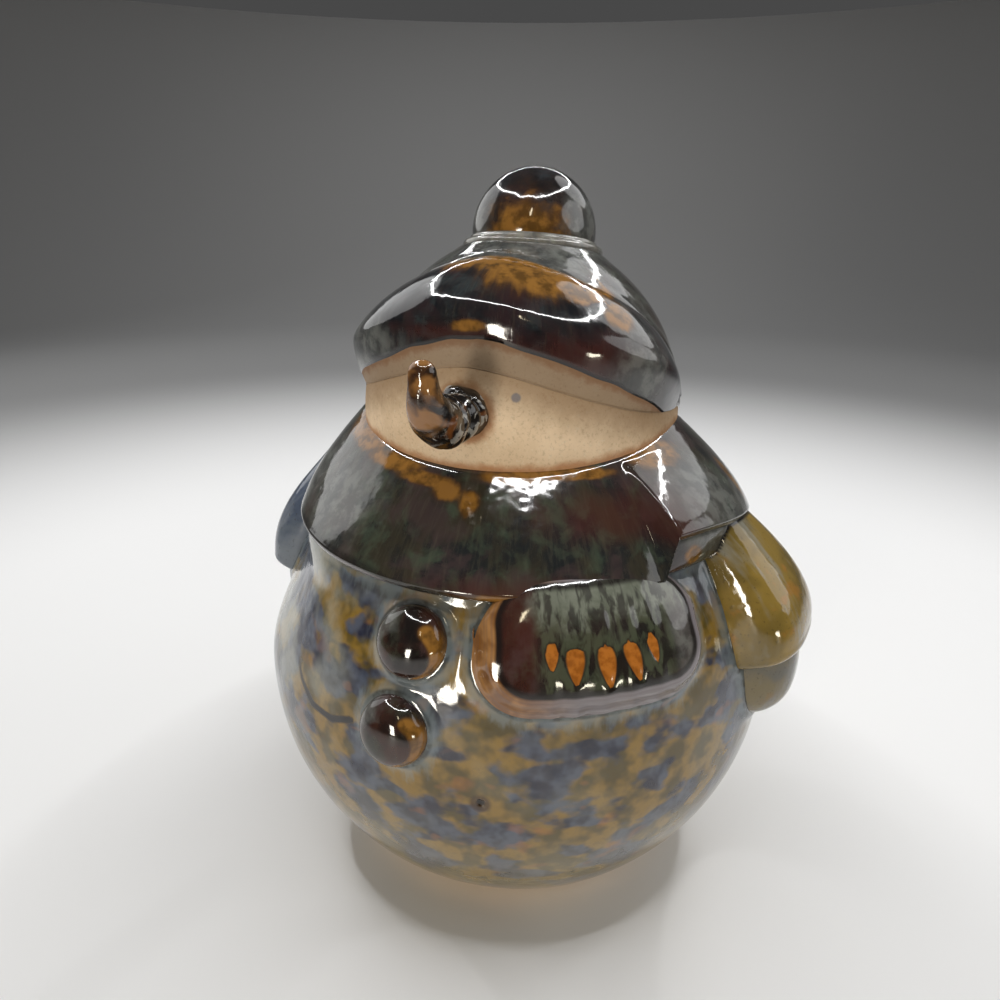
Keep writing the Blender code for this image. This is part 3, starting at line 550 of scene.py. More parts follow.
def mitten(name, arm, around=110, rows=70):
    azimuth, inset, drop = arm
    turn = np.linspace(0, PI, rows)[None, :]
    angle = full_turn(around)[:, None]
    grid = np.stack(np.broadcast_arrays(np.sin(turn) * np.cos(angle), np.sin(turn) * np.sin(angle), np.cos(turn)), -1)
    size = (np.abs(grid) ** MITTEN_FULLNESS).sum(-1, keepdims=True) ** (1 / MITTEN_FULLNESS)
    grid = turn_z(grid / size * MITTEN_HALVES, azimuth - PI / 2)
    grid = grid + at_azimuth(MITTEN_OUT - inset, azimuth, MITTEN_Z - drop)
    return skin(name, grid, ring=True)


sleeves = [sleeve("left_sleeve", LEFT_ARM), sleeve("right_sleeve", RIGHT_ARM)]
mittens = [mitten("left_mitten", LEFT_ARM), mitten("right_mitten", RIGHT_ARM)]

# ---- surfaces that hands and glaze have changed ----

def crease(piece, others, height, width, outer=1.0):
    """Lets a skin rise in a hollow curve to the pieces that sit on it, and keeps their distance as pool."""
    found = distance_to(places(piece), others, 7.0)
    put(piece, "pool", found)
    shift_out(piece, height * np.exp(-((found / width) ** 2)) * outer)


def line_distance(points, line, reach=6.0):
    """Distance from each point to a line through places given as azimuth in degrees and height."""
    corners = [Vector(at_azimuth(belly_radius(h), rad(a), h).tolist()) for a, h in line]
    found = np.full(len(points), reach)
    for first, second in zip(corners, corners[1:]):
        along = np.array(second - first)
        share = np.clip((points - np.array(first)) @ along / (along @ along), 0, 1)
        found = np.minimum(found, np.linalg.norm(points - np.array(first) - share[:, None] * along, axis=1))
    return found


def spots(piece, name, patches):
    """Patches of a finish as 1 in each middle falling to 0 at its rim: azimuth, height, half width and half height."""
    azimuth, height, radius = polar(places(piece))
    best = np.full(len(azimuth), -1.0)
    for middle, level, half_width, half_height in patches:
        across = (azimuth - middle) * radius * PI / 180
        best = np.maximum(best, 1.0 - np.hypot(across / half_width, (height - level) / half_height))
    put(piece, name, best)


on_body = [wrap, tail, hung_end, upper_button, lower_button] + sleeves + mittens
for seed, piece in enumerate([face, crown, brim, bobble, nose] + on_body):
    small = piece in (bobble, nose, upper_button, lower_button, tail)
    hand_made(piece, seed, *((0.1, 7.0, 0.03) if small else (0.25, 15.0, 0.06)))

points = places(belly)
outside = (np.linalg.norm(points - [0, 0, BELLY_Z], axis=1) > BELLY_R - 1).astype(float)
depth = 0.3 * (0.5 + 0.5 * waves(points, 22.0, 40)) + 0.07 * (0.5 + 0.5 * waves(points, 6.0, 41))
# The belly is narrower at its upper left in the photograph's view, its own right
upper = ease(points[:, 2], 44.0, 64.0) * (1.0 - ease(points[:, 2], 66.0, 71.5))
depth += 3.3 * np.exp(-(((polar(points)[0] + 54.0) / 27.0) ** 2)) * upper
shift_out(belly, -depth * outside)
crease(belly, on_body, 0.8, 1.25, outer=outside)
PIT_AZIMUTH, PIT_Z = rad(16.5), 40.5
pit = np.linalg.norm(places(belly) - at_azimuth(belly_radius(PIT_Z), PIT_AZIMUTH, PIT_Z), axis=1)
put(belly, "pit", pit)
shift_out(belly, outside * (0.12 * np.exp(-((pit - 1.4) / 0.6) ** 2) - 0.8 * np.exp(-((pit / 0.8) ** 2))))
SCAR = ((-36, 61), (-32, 56), (-26, 50.7), (-21, 48.1), (-15, 48), (-9.8, 49.8))
put(belly, "scar", line_distance(places(belly), SCAR))
azimuth, height, _ = polar(places(belly))
put(belly, "cool", ease(-azimuth, -5.0, 45.0) * ease(height, 30.0, 62.0))
# How low on the belly a point is, for the painted reflection of the floor that pales the lower belly
put(belly, "low", 1.0 - ease(height + 3.0 * waves(places(belly), 16.0, 71), 14.0, 40.0))

crease(crown, [brim, collar, bobble], 0.3, 1.6)
# The face doesn't rise towards the wrap and the nose, but keeps how far they are
crease(face, [wrap, nose], 0.0, 1.0)
points = places(face)
# Distance to the brim, for the shade painted on the face under it
put(face, "brim_distance_for_painted_shade", distance_to(points, [brim], 12.0))
SPECK_AZIMUTH, SPECK_Z = rad(20.8), 101.3
put(face, "speck", np.linalg.norm(points - at_azimuth(head_radius(SPECK_Z), SPECK_AZIMUTH, SPECK_Z), axis=1))

# Azimuths and heights where the brim's glaze ends, above the bare clay of its lower side
azimuth, height, _ = polar(places(brim))
edge_line = ((-90, 95.5), (-60, 99.0), (-44, 102.3), (-30, 105.0), (-17, 107.6), (-2, 109.6), (8, 110.1), (16, 109.5),
             (33, 106.9), (53, 102.6), (78, 95.8), (100, 94.0))
glaze_edge = height - np.interp(azimuth, *zip(*edge_line)) + 0.25 * waves(places(brim), 5.0, 77)
put(brim, "glazed", glaze_edge)
shift_out(brim, 0.16 * ease(glaze_edge, -0.15, 0.5) - 0.1)
spots(brim, "rust", (
    (6, 121.4, 14, 1.7), (34, 119.2, 10, 2.7), (-24, 120.6, 9, 1.2), (52, 116, 6, 1), (4.5, 111.9, 2.6, 0.9),
    (58, 113, 3, 1.8)))
# Pale haze on the brim's sides, partly painted sheen
spots(brim, "haze_and_painted_sheen", ((62, 106, 5, 7), (-42, 108, 9, 3), (-52, 103, 8, 3)))
spots(brim, "wine", ((38, 107.5, 15, 3), (0, 110.5, 10, 1.2)))
spots(crown, "rust", ((64, 112.5, 1.6, 5),))
# Pale haze on the crown, partly painted sheen
spots(crown, "haze_and_painted_sheen", ((20, 120, 16, 5), (70, 105, 8, 12), (-50, 112, 6, 6)))
spots(crown, "wine", ((150, 105, 20, 8),))

local = places(bobble) - hat_place(np.array([[0.0, 0.0, BOBBLE_Z]]))
PATCH_AZIMUTH = rad(12)
side, lift = local @ at_azimuth(np.array(1.0), PATCH_AZIMUTH + rad(90), 0.0) / BOBBLE_R, local[:, 2] / BOBBLE_R
front = local @ at_azimuth(np.array(1.0), PATCH_AZIMUTH, 0.0) / BOBBLE_R
put(bobble, "rust", np.where(front > -0.4, 0.8 - np.hypot((side - 0.05) / 0.62, (lift + 0.02) / 0.6), -1.0))
# Painted sheen: pale patches on both sides of the bobble
put(bobble, "haze_and_painted_sheen", 1.0 - np.hypot((np.abs(side) - 0.8) / 0.24, (lift - 0.1) / 0.6))
put(bobble, "wine", -1.0)

spots(wrap, "rust", (
    (-40, 90, 6, 1.7), (-22, 88.4, 6, 1.1), (-6, 87.2, 5, 0.8), (2, 86.2, 2.4, 1.1), (9, 85.2, 1.4, 1.4),
    (-52, 91, 4, 2.2), (68, 90.3, 5, 1.5), (93, 83, 1.5, 3.5), (20, 88.4, 5, 0.8), (38, 88.9, 7, 0.7),
    (24, 73.6, 9, 0.9)))
# Pale haze on the wrap, partly painted sheen, as at its right side
spots(wrap, "haze_and_painted_sheen", (
    (74, 83.5, 8, 5), (-32, 80.5, 9, 6), (88, 79, 6, 5), (-60, 80, 10, 8), (130, 82, 12, 6), (-130, 82, 14, 6)))
spots(wrap, "wine", ((50, 83.5, 13, 3), (22, 74.5, 14, 1.8), (160, 80, 14, 4)))
azimuth, height, _ = polar(places(wrap))
edge = SCARF_LOW + np.array([float(wrap_lift(a)) for a in np.radians(azimuth)])
# Height above the hem, for the painted reflection of the floor, which keeps narrow on the figure's left
put(wrap, "hem", height - edge + 2.0 * ease(azimuth, -14.0, 6.0))
spots(tail, "rust", ((63.5, 76.6, 1.7, 1.5), (80, 74, 8, 0.5)))
# Pale haze on the tail, partly painted sheen
spots(tail, "haze_and_painted_sheen", ((72, 79, 8, 2), (95, 78, 6, 2)))
spots(tail, "wine", ((58, 74, 2, 1),))

across, along = end_places(hung_end)
inset = np.stack([np.abs(across) - (END_W / 2 - END_LOW_CORNER), np.abs(along) - (END_H / 2 - END_LOW_CORNER)])
border = END_LOW_CORNER - np.linalg.norm(np.maximum(inset, 0.0), axis=0) - np.minimum(inset.max(0), 0.0)
border = np.where(along > 0, np.minimum(border, END_W / 2 - np.abs(across)) + 0.12 * along, border)
outward = places(hung_end) - [0, 0, BELLY_Z]
above = np.linalg.norm(outward, axis=1) - BELLY_R
outward /= (above + BELLY_R)[:, None]
skirt = 0.9 + (END_T - 0.9) * ease(border + 0.4, 0.0, 4.8) - 0.3 * np.exp(-(((border - 4.3) / 0.5) ** 2))
move_to(hung_end, places(hung_end) - outward * np.maximum(above - skirt, 0.0)[:, None])
drop = drop_shape(across, along)
front = ease((normals(hung_end) * outward).sum(1), 0.45, 0.8)
ribs = np.cos(across * 2 * PI / 3.9 + 1.2 * waves(places(hung_end), 6.0, 52)) * (1.0 + waves(places(hung_end), 5.0, 53))
shift_out(hung_end, -0.35 * ease(drop, -0.9, 1.0) * front
          + 0.13 * ribs * front * ease(across, -10, -7) * (1 - ease(across, 9, 12))
          * (1 - ease(along, 2.5, 6.0)))
for name, values in (("drops", drop), ("across", across), ("along", along), ("border", border), ("rust", -1.0)):
    put(hung_end, name, values)
put(hung_end, "wine", 1.0 - np.hypot((across + 11.0) / 4.5, (along - 2.0) / 6.5))
# Pale haze at the hung end's right and top, partly painted sheen
put(hung_end, "haze_and_painted_sheen", np.maximum(1.0 - np.hypot((across - 14.5) / 3.6, (along + 1.0) / 7.0),
                                 1.0 - np.hypot((across - 2.0) / 11.0, (along - 6.0) / 2.2)))

for piece in (upper_button, lower_button):
    points = places(piece)
    local = points - (points.min(0) + points.max(0)) / 2
    sideways, lean = local @ np.array([cos(rad(5)), sin(rad(5)), 0.0]), local[:, 2]
    ring = np.hypot(sideways, lean * 1.15)
    beyond = np.maximum(np.abs(np.arctan2(lean, sideways) + 0.15) - 0.95, 0.0)
    put(piece, "rust", 1.0 - np.hypot((ring - 5.3) / 0.85, beyond / 0.25))
    # Painted sheen on the rim of each button, on the figure's right and below
    put(piece, "haze_and_painted_sheen", np.minimum((ring - 4.4) / 0.8, (0.6 - sideways - 0.6 * lean) / 2.0))
    put(piece, "wine", -1.0)

along_nose = np.clip((-turn_z(places(nose), -HEAD_TURN)[:, 1] - 29.6) / 15.8, 0, 1)
put(nose, "along", along_nose)
shift_out(nose, (1.0 - ease(along_nose, 0.3, 0.55)) * (0.35 * waves(places(nose), 2.2, 61) - 0.15))

# The collar carries haze all over as painted sheen, and no rust or wine
for name, value in (("rust", -1.0), ("wine", -1.0), ("haze_and_painted_sheen", 1.0)):
    put(collar, name, value)
for piece in sleeves + mittens:
    put(piece, "pool", distance_to(places(piece), [wrap, tail] + (mittens if piece in sleeves else sleeves), 3.0))


# ---- materials ----

GLAZE_IOR, CLAY_IOR, PAPER_IOR = 1.66, 1.25, 1.5


def colour(red, green, blue):
    """A colour from its display values of 0 to 255."""
    return tuple((c / 255 + 0.055) ** 2.4 / 1.055**2.4 if c > 10 else c / 3295 for c in (red, green, blue)) + (1.0,)


class Net:
    """A material's nodes, made one after another. Sizes are in millimetres on the object."""

    def __init__(self, name, still=False, ior=GLAZE_IOR):
        """A still net leaves its noises unstretched, for a piece round the axis that streaks spread from."""
        self.material = bpy.data.materials.new(name)
        self.still = still
        self.material.use_nodes = True
        self.nodes, self.links = self.material.node_tree.nodes, self.material.node_tree.links
        self.shader = self.nodes["Principled BSDF"]
        self.feed(self.shader, "IOR", ior)
        metres = self.make("ShaderNodeTexCoord", {}, "Object")
        self.place = self.make("ShaderNodeMapping", {"Vector": metres, "Scale": (1000, 1000, 1000),
                                                     "Location": tuple(-AXIS / MM)})

    def make(self, kind, inputs, output=0, **settings):
        node = self.nodes.new(kind)
        for name, value in settings.items():
            setattr(node, name, value)
        for key, value in inputs.items():
            self.feed(node, key, value)
        return node.outputs[output]

    def feed(self, node, key, value):
        if isinstance(value, bpy.types.NodeSocket):
            self.links.new(value, node.inputs[key])
        else:
            node.inputs[key].default_value = value

    def attribute(self, name):
        return self.make("ShaderNodeAttribute", {}, "Fac", attribute_name=name)

    def maths(self, operation, *values):
        return self.make("ShaderNodeMath", dict(enumerate(values)), operation=operation)

    def times(self, first, second):
        return self.maths("MULTIPLY", first, second)

    def plus(self, first, second):
        return self.maths("ADD", first, second)

    def scaled(self, value, factor, shift):
        return self.maths("MULTIPLY_ADD", value, factor, shift)

    def noise(self, size, detail=3.0, rough=0.55, twist=0.0, seed=0.0, where=None):
        moved = self.make("ShaderNodeVectorMath", {0: where or self.place, 1: (seed, seed * 0.7, -seed)},
                          operation="ADD")
        return self.make("ShaderNodeTexNoise", {"Vector": moved, "Scale": 1.0 / size, "Detail": detail,
                                                "Roughness": rough, "Distortion": twist})

    def step(self, value, low, high):
        return self.make("ShaderNodeMapRange", {"Value": value, 1: low, 2: high}, interpolation_type="SMOOTHSTEP")

    def spread(self, value, low, high):
        """Numbers of 0 to 1 spread from one value to another."""
        return self.make("ShaderNodeMapRange", {"Value": value, 3: low, 4: high})

    def clouds(self, low, high, *settings, **more):
        """A noise that is clear below one level and full above another."""
        return self.step(self.noise(*settings, **more), low, high)

    def mix(self, share, first, second):
        """A mix of two colours, each a socket or display values of 0 to 255."""
        first, second = [colour(*tone) if isinstance(tone, tuple) else tone for tone in (first, second)]
        return self.make("ShaderNodeMix", {0: share, 6: first, 7: second}, 2, data_type="RGBA")

    def over(self, base, mask, share, tone):
        """A colour with another laid over it where a mask is, at most by a share."""
        return self.mix(self.times(mask, share), base, tone)

    def patch(self, name, warp, sharp, seed):
        """A painted patch with an uneven rim that runs down a little."""
        ragged = self.noise(3.2, 4.0, 0.5, 0.2, seed, self.streaks(1.0, 1.25))
        uneven = self.plus(self.attribute(name), self.scaled(ragged, warp, -warp / 2))
        return self.step(uneven, -sharp, sharp)

    def streaks(self, across, down):
        """Coordinates that stretch a noise down the figure's sides."""
        if self.still:
            return self.place
        parts = self.make("ShaderNodeSeparateXYZ", {0: self.place}).node.outputs
        reach = self.maths("SQRT", self.plus(self.times(parts[0], parts[0]), self.times(parts[1], parts[1])))
        inverse = self.maths("DIVIDE", 40.0 / across, self.maths("MAXIMUM", reach, 2.0))
        return self.make("ShaderNodeCombineXYZ", {0: self.times(parts[0], inverse),
                                                  1: self.times(parts[1], inverse),
                                                  2: self.times(parts[2], 1.0 / down)})

    def finish(self, base, rough, bump, depth):
        """The material with a colour, a roughness and a bump as deep as a depth."""
        self.feed(self.shader, "Base Color", base)
        self.feed(self.shader, "Roughness", rough)
        normal = self.make("ShaderNodeBump", {"Height": bump, "Distance": depth * MM, "Strength": 1.0})
        self.feed(self.shader, "Normal", normal)
        return self.material


def belly_glaze():
    """Ochre and slate blotches, milky at the upper left and paler low down with a painted reflection of the floor,
    darker at what sits on them.
    """
    net = Net("glaze_mottled")
    cool, pool, low = net.attribute("cool"), net.attribute("pool"), net.attribute("low")
    brushed = net.streaks(1.3, 1)
    narrow, broad = net.noise(2.8, 2, 0.5, seed=17, where=brushed), net.noise(6, 1.5, 0.45, 0.2, where=brushed)
    blotch = net.scaled(narrow, 0.3, net.times(broad, 0.7))
    shade = net.scaled(low, -0.03, net.scaled(cool, 0.06, blotch))
    blue = net.times(net.step(shade, 0.465, 0.55), 0.95)
    ochre = net.mix(net.clouds(0.38, 0.62, 4.2, 2, 0.5, seed=5), (84, 71, 34), (136, 108, 48))
    slate = net.mix(net.clouds(0.36, 0.64, 4, 2, 0.5, seed=11), (34, 38, 58), (78, 86, 104))
    base = net.mix(blue, ochre, slate)
    spot = net.times(net.clouds(0.6, 0.7, 4.6, 2, 0.5, 0.2, 23, brushed), net.maths("SUBTRACT", 1, cool))
    base = net.over(base, spot, 0.35, (162, 100, 46))
    milk = net.clouds(0.42, 0.64, 12, 3, 0.5, seed=31)
    base = net.over(base, milk, net.scaled(cool, 0.66, 0.1), (176, 178, 168))
    # Painted reflection of the floor, paling the lower belly
    base = net.over(base, low, 0.32, (148, 140, 118))
    fine = net.clouds(0.48, 0.7, 0.9, 3, 0.6, seed=3)
    base = net.over(base, fine, 0.16, (72, 70, 66))
    fingers = net.noise(1.5, 3, 0.6, 0.2, 41, net.streaks(1, 3.2))
    near = net.plus(pool, net.scaled(fingers, 7, -3.5))
    base = net.over(base, net.step(near, 3.4, 0.6), 0.42, (134, 146, 150))
    rim = net.mix(net.clouds(0.4, 0.6, 2.2, seed=43), (50, 54, 56), (92, 100, 102))
    base = net.over(base, net.step(pool, 1, 0.4), 0.8, rim)
    base = net.mix(net.step(net.attribute("scar"), 0.95, 0.4), base, (34, 30, 30))
    pit = net.attribute("pit")
    base = net.over(base, net.step(pit, 2.2, 1.3), 0.8, (62, 42, 24))
    base = net.mix(net.step(pit, 1, 0.5), base, (22, 16, 12))
    rough = net.spread(net.noise(1.6, seed=9), 0.05, 0.14)
    bump = net.plus(net.noise(6, 2, seed=13), net.times(net.noise(0.9, 2, seed=15), 0.06))
    return net.finish(base, rough, bump, 0.2)


def dark_glaze(name, seed, tones, extra=None, ragged=1.3, hairs=0.04, still=False):
    """The near-black glaze, which breaks to ochre where it is thin and clouds over pale where it has pooled. The pale
    haze also carries painted sheen, reflections of the lamps laid into the colour.

    The tones are its deep, brown, mossy and plum parts. An extra takes the net and the colour and gives a new colour.
    """
    net = Net(name, still)
    deep, brown, moss, plum = tones
    hair = net.noise(0.7, 3, 0.7, 0.1, seed, net.streaks(1, 6))
    base = net.mix(net.clouds(0.38, 0.62, 5.5, 3, 0.55, 0.4, seed + 3, net.streaks(1, 1.25)), deep, brown)
    for size, share, tone, start, end, step in ((5, 0.75, moss, 0.48, 0.68, 7), (8, 0.65, plum, 0.48, 0.66, 11)):
        cloud = net.clouds(start, end, size, 4, 0.6, 0.4, seed + step)
        base = net.over(base, cloud, share, tone)
    base = net.over(base, net.step(hair, 0.46, 0.7), hairs, (98, 94, 76))
    base = net.over(base, net.patch("wine", 1.2, 0.7, seed + 9), 0.5, (74, 34, 26))
    # Pale haze, partly painted sheen: reflections of the lamps and the floor laid into the colour
    pale = net.mix(net.clouds(0.4, 0.62, 3, 4, 0.6, seed=seed + 15), (84, 86, 84), (128, 130, 126))
    base = net.over(base, net.patch("haze_and_painted_sheen", 1.1, 0.6, seed + 5), 0.55, pale)
    ochre = net.mix(net.clouds(0.34, 0.6, 2.4, 3, 0.55, seed=seed + 13), (90, 62, 24), (140, 98, 42))
    soft = net.mix(net.patch("rust", ragged, 0.7, seed + 1), base, (78, 50, 28))
    base = net.mix(net.patch("rust", ragged, 0.3, seed + 1), soft, ochre)
    if extra:
        base = extra(net, base)
    rough = net.spread(net.noise(2, seed=seed + 17), 0.04, 0.12)
    bump = net.plus(net.noise(5, 2, seed=seed + 19), net.times(hair, 0.05))
    return net, (base, rough, bump, 0.12)


def clay_tone(net, warm):
    """Bare clay, warmer towards glaze, with fine grog."""
    tone = net.mix(net.clouds(0.35, 0.65, 11, 3, seed=2), (214, 188, 156), (228, 203, 172))
    tone = net.over(tone, net.clouds(0.5, 0.7, 0.55, 3, 0.7, seed=4), 0.34, (150, 124, 98))
    tone = net.over(tone, net.clouds(0.6, 0.68, 0.9, 2, 0.7, seed=8), 0.35, (226, 210, 184))
    return net.mix(warm, tone, net.mix(net.noise(1.8, seed=6), (150, 84, 34), (178, 116, 62)))


def clay_finish(net, base):
    rough = net.spread(net.noise(2, seed=14), 0.82, 0.95)
    return net.finish(base, rough, net.noise(0.5, 2, 0.6), 0.035)


def bisque():
    net = Net("bisque_face", ior=CLAY_IOR)
    pool, brim_distance_for_painted_shade = net.attribute("pool"), net.attribute("brim_distance_for_painted_shade")
    uneven = net.scaled(net.noise(2.5, 4, 0.6, seed=21), 2.2, -1.1)
    warm = net.step(net.plus(pool, uneven), 1.7, 0.1)
    base = clay_tone(net, net.times(warm, 0.7))
    # Painted shade under the brim, darkening the face near it
    under = net.step(net.plus(brim_distance_for_painted_shade, net.times(uneven, 1.6)), 8, 0.5)
    base = net.over(base, under, 0.7, (120, 92, 62))
    base = net.over(base, net.step(net.attribute("speck"), 1, 0.6), 0.7, (92, 98, 112))
    return clay_finish(net, base)


def plain_bisque():
    net = Net("bisque_foot", ior=CLAY_IOR)
    base = clay_tone(net, net.times(net.clouds(0.55, 0.7, 6), 0.3))
    return clay_finish(net, base)


def hem_with_painted_reflection(net, base):
    """The rounded hem of the wrap with a painted reflection of the floor, pale and wider on the figure's right, under a
    dark line.
    """
    hem = net.attribute("hem")
    base = net.over(base, net.step(hem, 3.4, 2.6), 0.6, (26, 22, 22))
    return net.over(base, net.step(hem, 2.2, 1.6), 0.7, (116, 110, 114))


def brim_glaze():
    tones = ((15, 18, 23), (31, 29, 31), (50, 58, 60), (50, 32, 34))
    net, (base, rough, bump, depth) = dark_glaze("glaze_brim", 50, tones, hairs=0.1)
    glazed = net.attribute("glazed")
    on = net.step(glazed, -0.05, 0.05)
    base = net.mix(net.step(glazed, 0.9, 0.1), base, (14, 11, 10))
    warm = net.step(net.plus(glazed, net.scaled(net.noise(2, 4), 3, -1.5)), -1.6, -0.2)
    # The bare clay under the brim, with painted shade darkening it most of the way to brown
    clay = net.mix(0.72, clay_tone(net, net.times(warm, 0.8)), (104, 78, 50))
    rough = net.make("ShaderNodeMix", {0: on, 2: 0.72, 3: rough})
    return net.finish(net.mix(on, clay, base), rough, bump, depth)


def end_extra(net, base):
    """Green strands with orange between them, a pale mottled crest that is partly painted sheen, and a banded border
    whose lavender is partly a painted reflection of the floor.
    """
    drops, across, along, border = [net.attribute(part) for part in ("drops", "across", "along", "border")]
    stretched = net.make("ShaderNodeCombineXYZ", {0: across, 1: net.times(along, 0.35)})
    strand = net.noise(1.3, 3, 0.55, 0.4, 90, stretched)
    middle = net.times(net.step(across, -10.5, -8.5), net.step(across, 12, 9))
    green = net.mix(net.step(strand, 0.4, 0.6), (32, 30, 26), (76, 82, 64))
    base = net.over(base, middle, 0.75, green)
    blotchy = net.noise(2.6, 3, 0.55, 0.5, 95)
    # Pale mottled crest along the top, partly painted sheen
    crest = net.plus(along, net.scaled(blotchy, 7, -3.5))
    crest_mottle_and_sheen = net.times(net.step(crest, 1, 5), net.step(across, -12, -8))
    crest_mottle_and_sheen = net.times(crest_mottle_and_sheen, net.scaled(net.step(strand, 0.42, 0.56), 0.5, 0.15))
    base = net.mix(crest_mottle_and_sheen, base, net.mix(blotchy, (84, 90, 76), (158, 162, 150)))
    base = net.over(base, net.step(drops, -0.35, 0), 0.6, (30, 26, 20))
    orange = net.mix(net.clouds(0.35, 0.65, 1.2, 3, seed=91), (146, 84, 26), (178, 108, 40))
    base = net.mix(net.step(drops, -0.02, 0.24), base, orange)
    ringed = net.make("ShaderNodeCombineXYZ", {0: net.times(border, 2.6), 1: net.times(across, 0.06)})
    lines = net.noise(1, 3, where=ringed)
    # The border band: tan towards one end and lavender elsewhere, the lavender partly a painted reflection of the floor
    tan = net.mix(net.clouds(0.38, 0.62, 3.4, 2, 0.5, seed=93), (124, 82, 42), (160, 116, 70))
    border_band_and_reflection = net.mix(net.step(across, -14, -3), tan, (126, 120, 124))
    border_band_and_reflection = net.over(border_band_and_reflection, net.step(lines, 0.42, 0.6), 0.25, (86, 76, 76))
    base = net.over(base, net.step(border, 5.2, 4.4), 0.85, (24, 18, 16))
    return net.mix(net.step(border, 4.1, 3.5), base, border_band_and_reflection)


def sleeve_glaze(name, tones, seed):
    net = Net(name)
    first, second, third, fourth = tones
    base = net.mix(net.clouds(0.38, 0.62, 8, 3, seed=seed), first, second)
    base = net.over(base, net.clouds(0.55, 0.68, 5, 3, seed=seed + 3), 0.7, third)
    streak = net.clouds(0.52, 0.68, 3.4, 4, 0.6, seed=seed + 5, where=net.streaks(1, 5))
    base = net.over(base, streak, 0.55, fourth)
    fleck = net.clouds(0.62, 0.7, 0.6, 2, seed=seed)
    base = net.over(base, fleck, 0.4, (60, 50, 34))
    base = net.mix(net.step(net.attribute("pool"), 0.7, 0.1), base, (26, 24, 26))
    rough = net.spread(net.noise(1.6, seed=9), 0.04, 0.12)
    return net.finish(base, rough, net.noise(5, 2, seed=seed), 0.2)


def nose_glaze():
    net = Net("glaze_nose")
    along = net.attribute("along")
    patchy = net.noise(3.4, 2, 0.5, 0.4, 3)
    dark = net.mix(net.step(patchy, 0.56, 0.7), (24, 19, 16), (110, 64, 28))
    amber = net.mix(net.step(patchy, 0.36, 0.56), (70, 44, 24), (140, 98, 54))
    tip = net.step(net.scaled(patchy, 0.5, along), 1.08, 1.24)
    base = net.mix(tip, dark, amber)
    # Pale marbling at the root, partly a painted reflection of the floor
    marble_and_reflection = net.noise(2.4, 3, 0.5, 1.2, 12)
    pale = net.times(net.step(marble_and_reflection, 0.53, 0.6), net.step(along, 0.78, 0.6))
    base = net.over(base, pale, 0.8, (168, 164, 156))
    return net.finish(base, 0.07, net.noise(1.5, 3), 0.1)


def paint(piece, made):
    piece.data.materials.clear()
    piece.data.materials.append(made)


HAT_TONES = ((28, 28, 30), (52, 48, 42), (82, 86, 78), (62, 48, 50))
for painted, name, seed, tones, changes in (
        ((hung_end,), "glaze_fringe", 70.0, ((24, 20, 18), (52, 28, 20), (66, 70, 56), (76, 60, 60)),
         {"extra": end_extra, "hairs": 0.1}),
        ((wrap,), "glaze_wrap", 10.0, ((30, 32, 33), (50, 46, 36), (64, 74, 60), (66, 52, 52)),
         {"extra": hem_with_painted_reflection, "ragged": 1.1, "hairs": 0.14}),
        ((tail,), "glaze_tail", 30.0, HAT_TONES, {}),
        ((crown,), "glaze_crown", 20.0, HAT_TONES, {}),
        # The collar's pale tones are painted highlights, standing in for the lamps reflected on its rolls
        ((collar,), "glaze_collar_painted_sheen", 25.0, ((92, 88, 82), (122, 114, 100), (136, 132, 116), (100, 90, 84)), {}),
        ((bobble,), "glaze_bobble", 40.0, ((18, 17, 18), (32, 28, 28), (50, 54, 58), (44, 32, 32)), {"still": True}),
        ((upper_button, lower_button), "glaze_buttons", 60.0,
         ((24, 18, 16), (58, 34, 26), (58, 60, 50), (84, 66, 68)), {"ragged": 0.35})):
    net, parts = dark_glaze(name, seed, tones, **changes)
    made = net.finish(*parts)
    for piece in painted:
        paint(piece, made)
for piece, made in ((belly, belly_glaze()), (brim, brim_glaze()), (face, bisque()), (foot, plain_bisque()),
                    (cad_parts["base_disc"], plain_bisque()), (nose, nose_glaze())):
    paint(piece, made)
# Display colours of the two main tones, the clouds and the streaks of the arms' glazes
gold = ((136, 112, 52), (110, 92, 44), (156, 110, 46), (142, 148, 146))
blue = ((80, 90, 108), (104, 112, 122), (66, 70, 86), (136, 142, 150))
olive = ((112, 100, 70), (92, 88, 78), (126, 98, 54), (122, 120, 118))
for piece, name, tones, seed in zip(sleeves + mittens, ("sleeve_gold", "sleeve_blue", "mitten_olive", "mitten_blue"),
                                    (gold, blue, olive, blue), (1.0, 4.0, 6.0, 8.0)):
    paint(piece, sleeve_glaze("glaze_" + name, tones, seed))


# ---- floor, light and camera ----

# The photograph's view: angles, the camera's place from the figure's axis in metres, and its lens in millimetres
VIEW_AZIMUTH, VIEW_PITCH, VIEW_ROLL = rad(24), rad(22), rad(0.5)
VIEW_RIGHT = Vector((cos(VIEW_AZIMUTH), sin(VIEW_AZIMUTH), 0))
VIEW_AWAY = Vector((-sin(VIEW_AZIMUTH), cos(VIEW_AZIMUTH), 0))
VIEW_ASIDE, VIEW_BACK, VIEW_Z = -0.004, 0.1445, 0.1306
SENSOR, LENS = 36.0, 27.04
# The height that lamps are aimed at
AIM_Z = 0.09
FLOOR_R, SWEEP_R = 0.7, 0.35
# The floor's grey near the figure and far from it, and between which distances it changes
PALE_FLOOR, DARK_FLOOR, PALE_UNTIL, DARK_FROM = 0.8, 0.18, 0.2, 0.5
SKY = 0.065


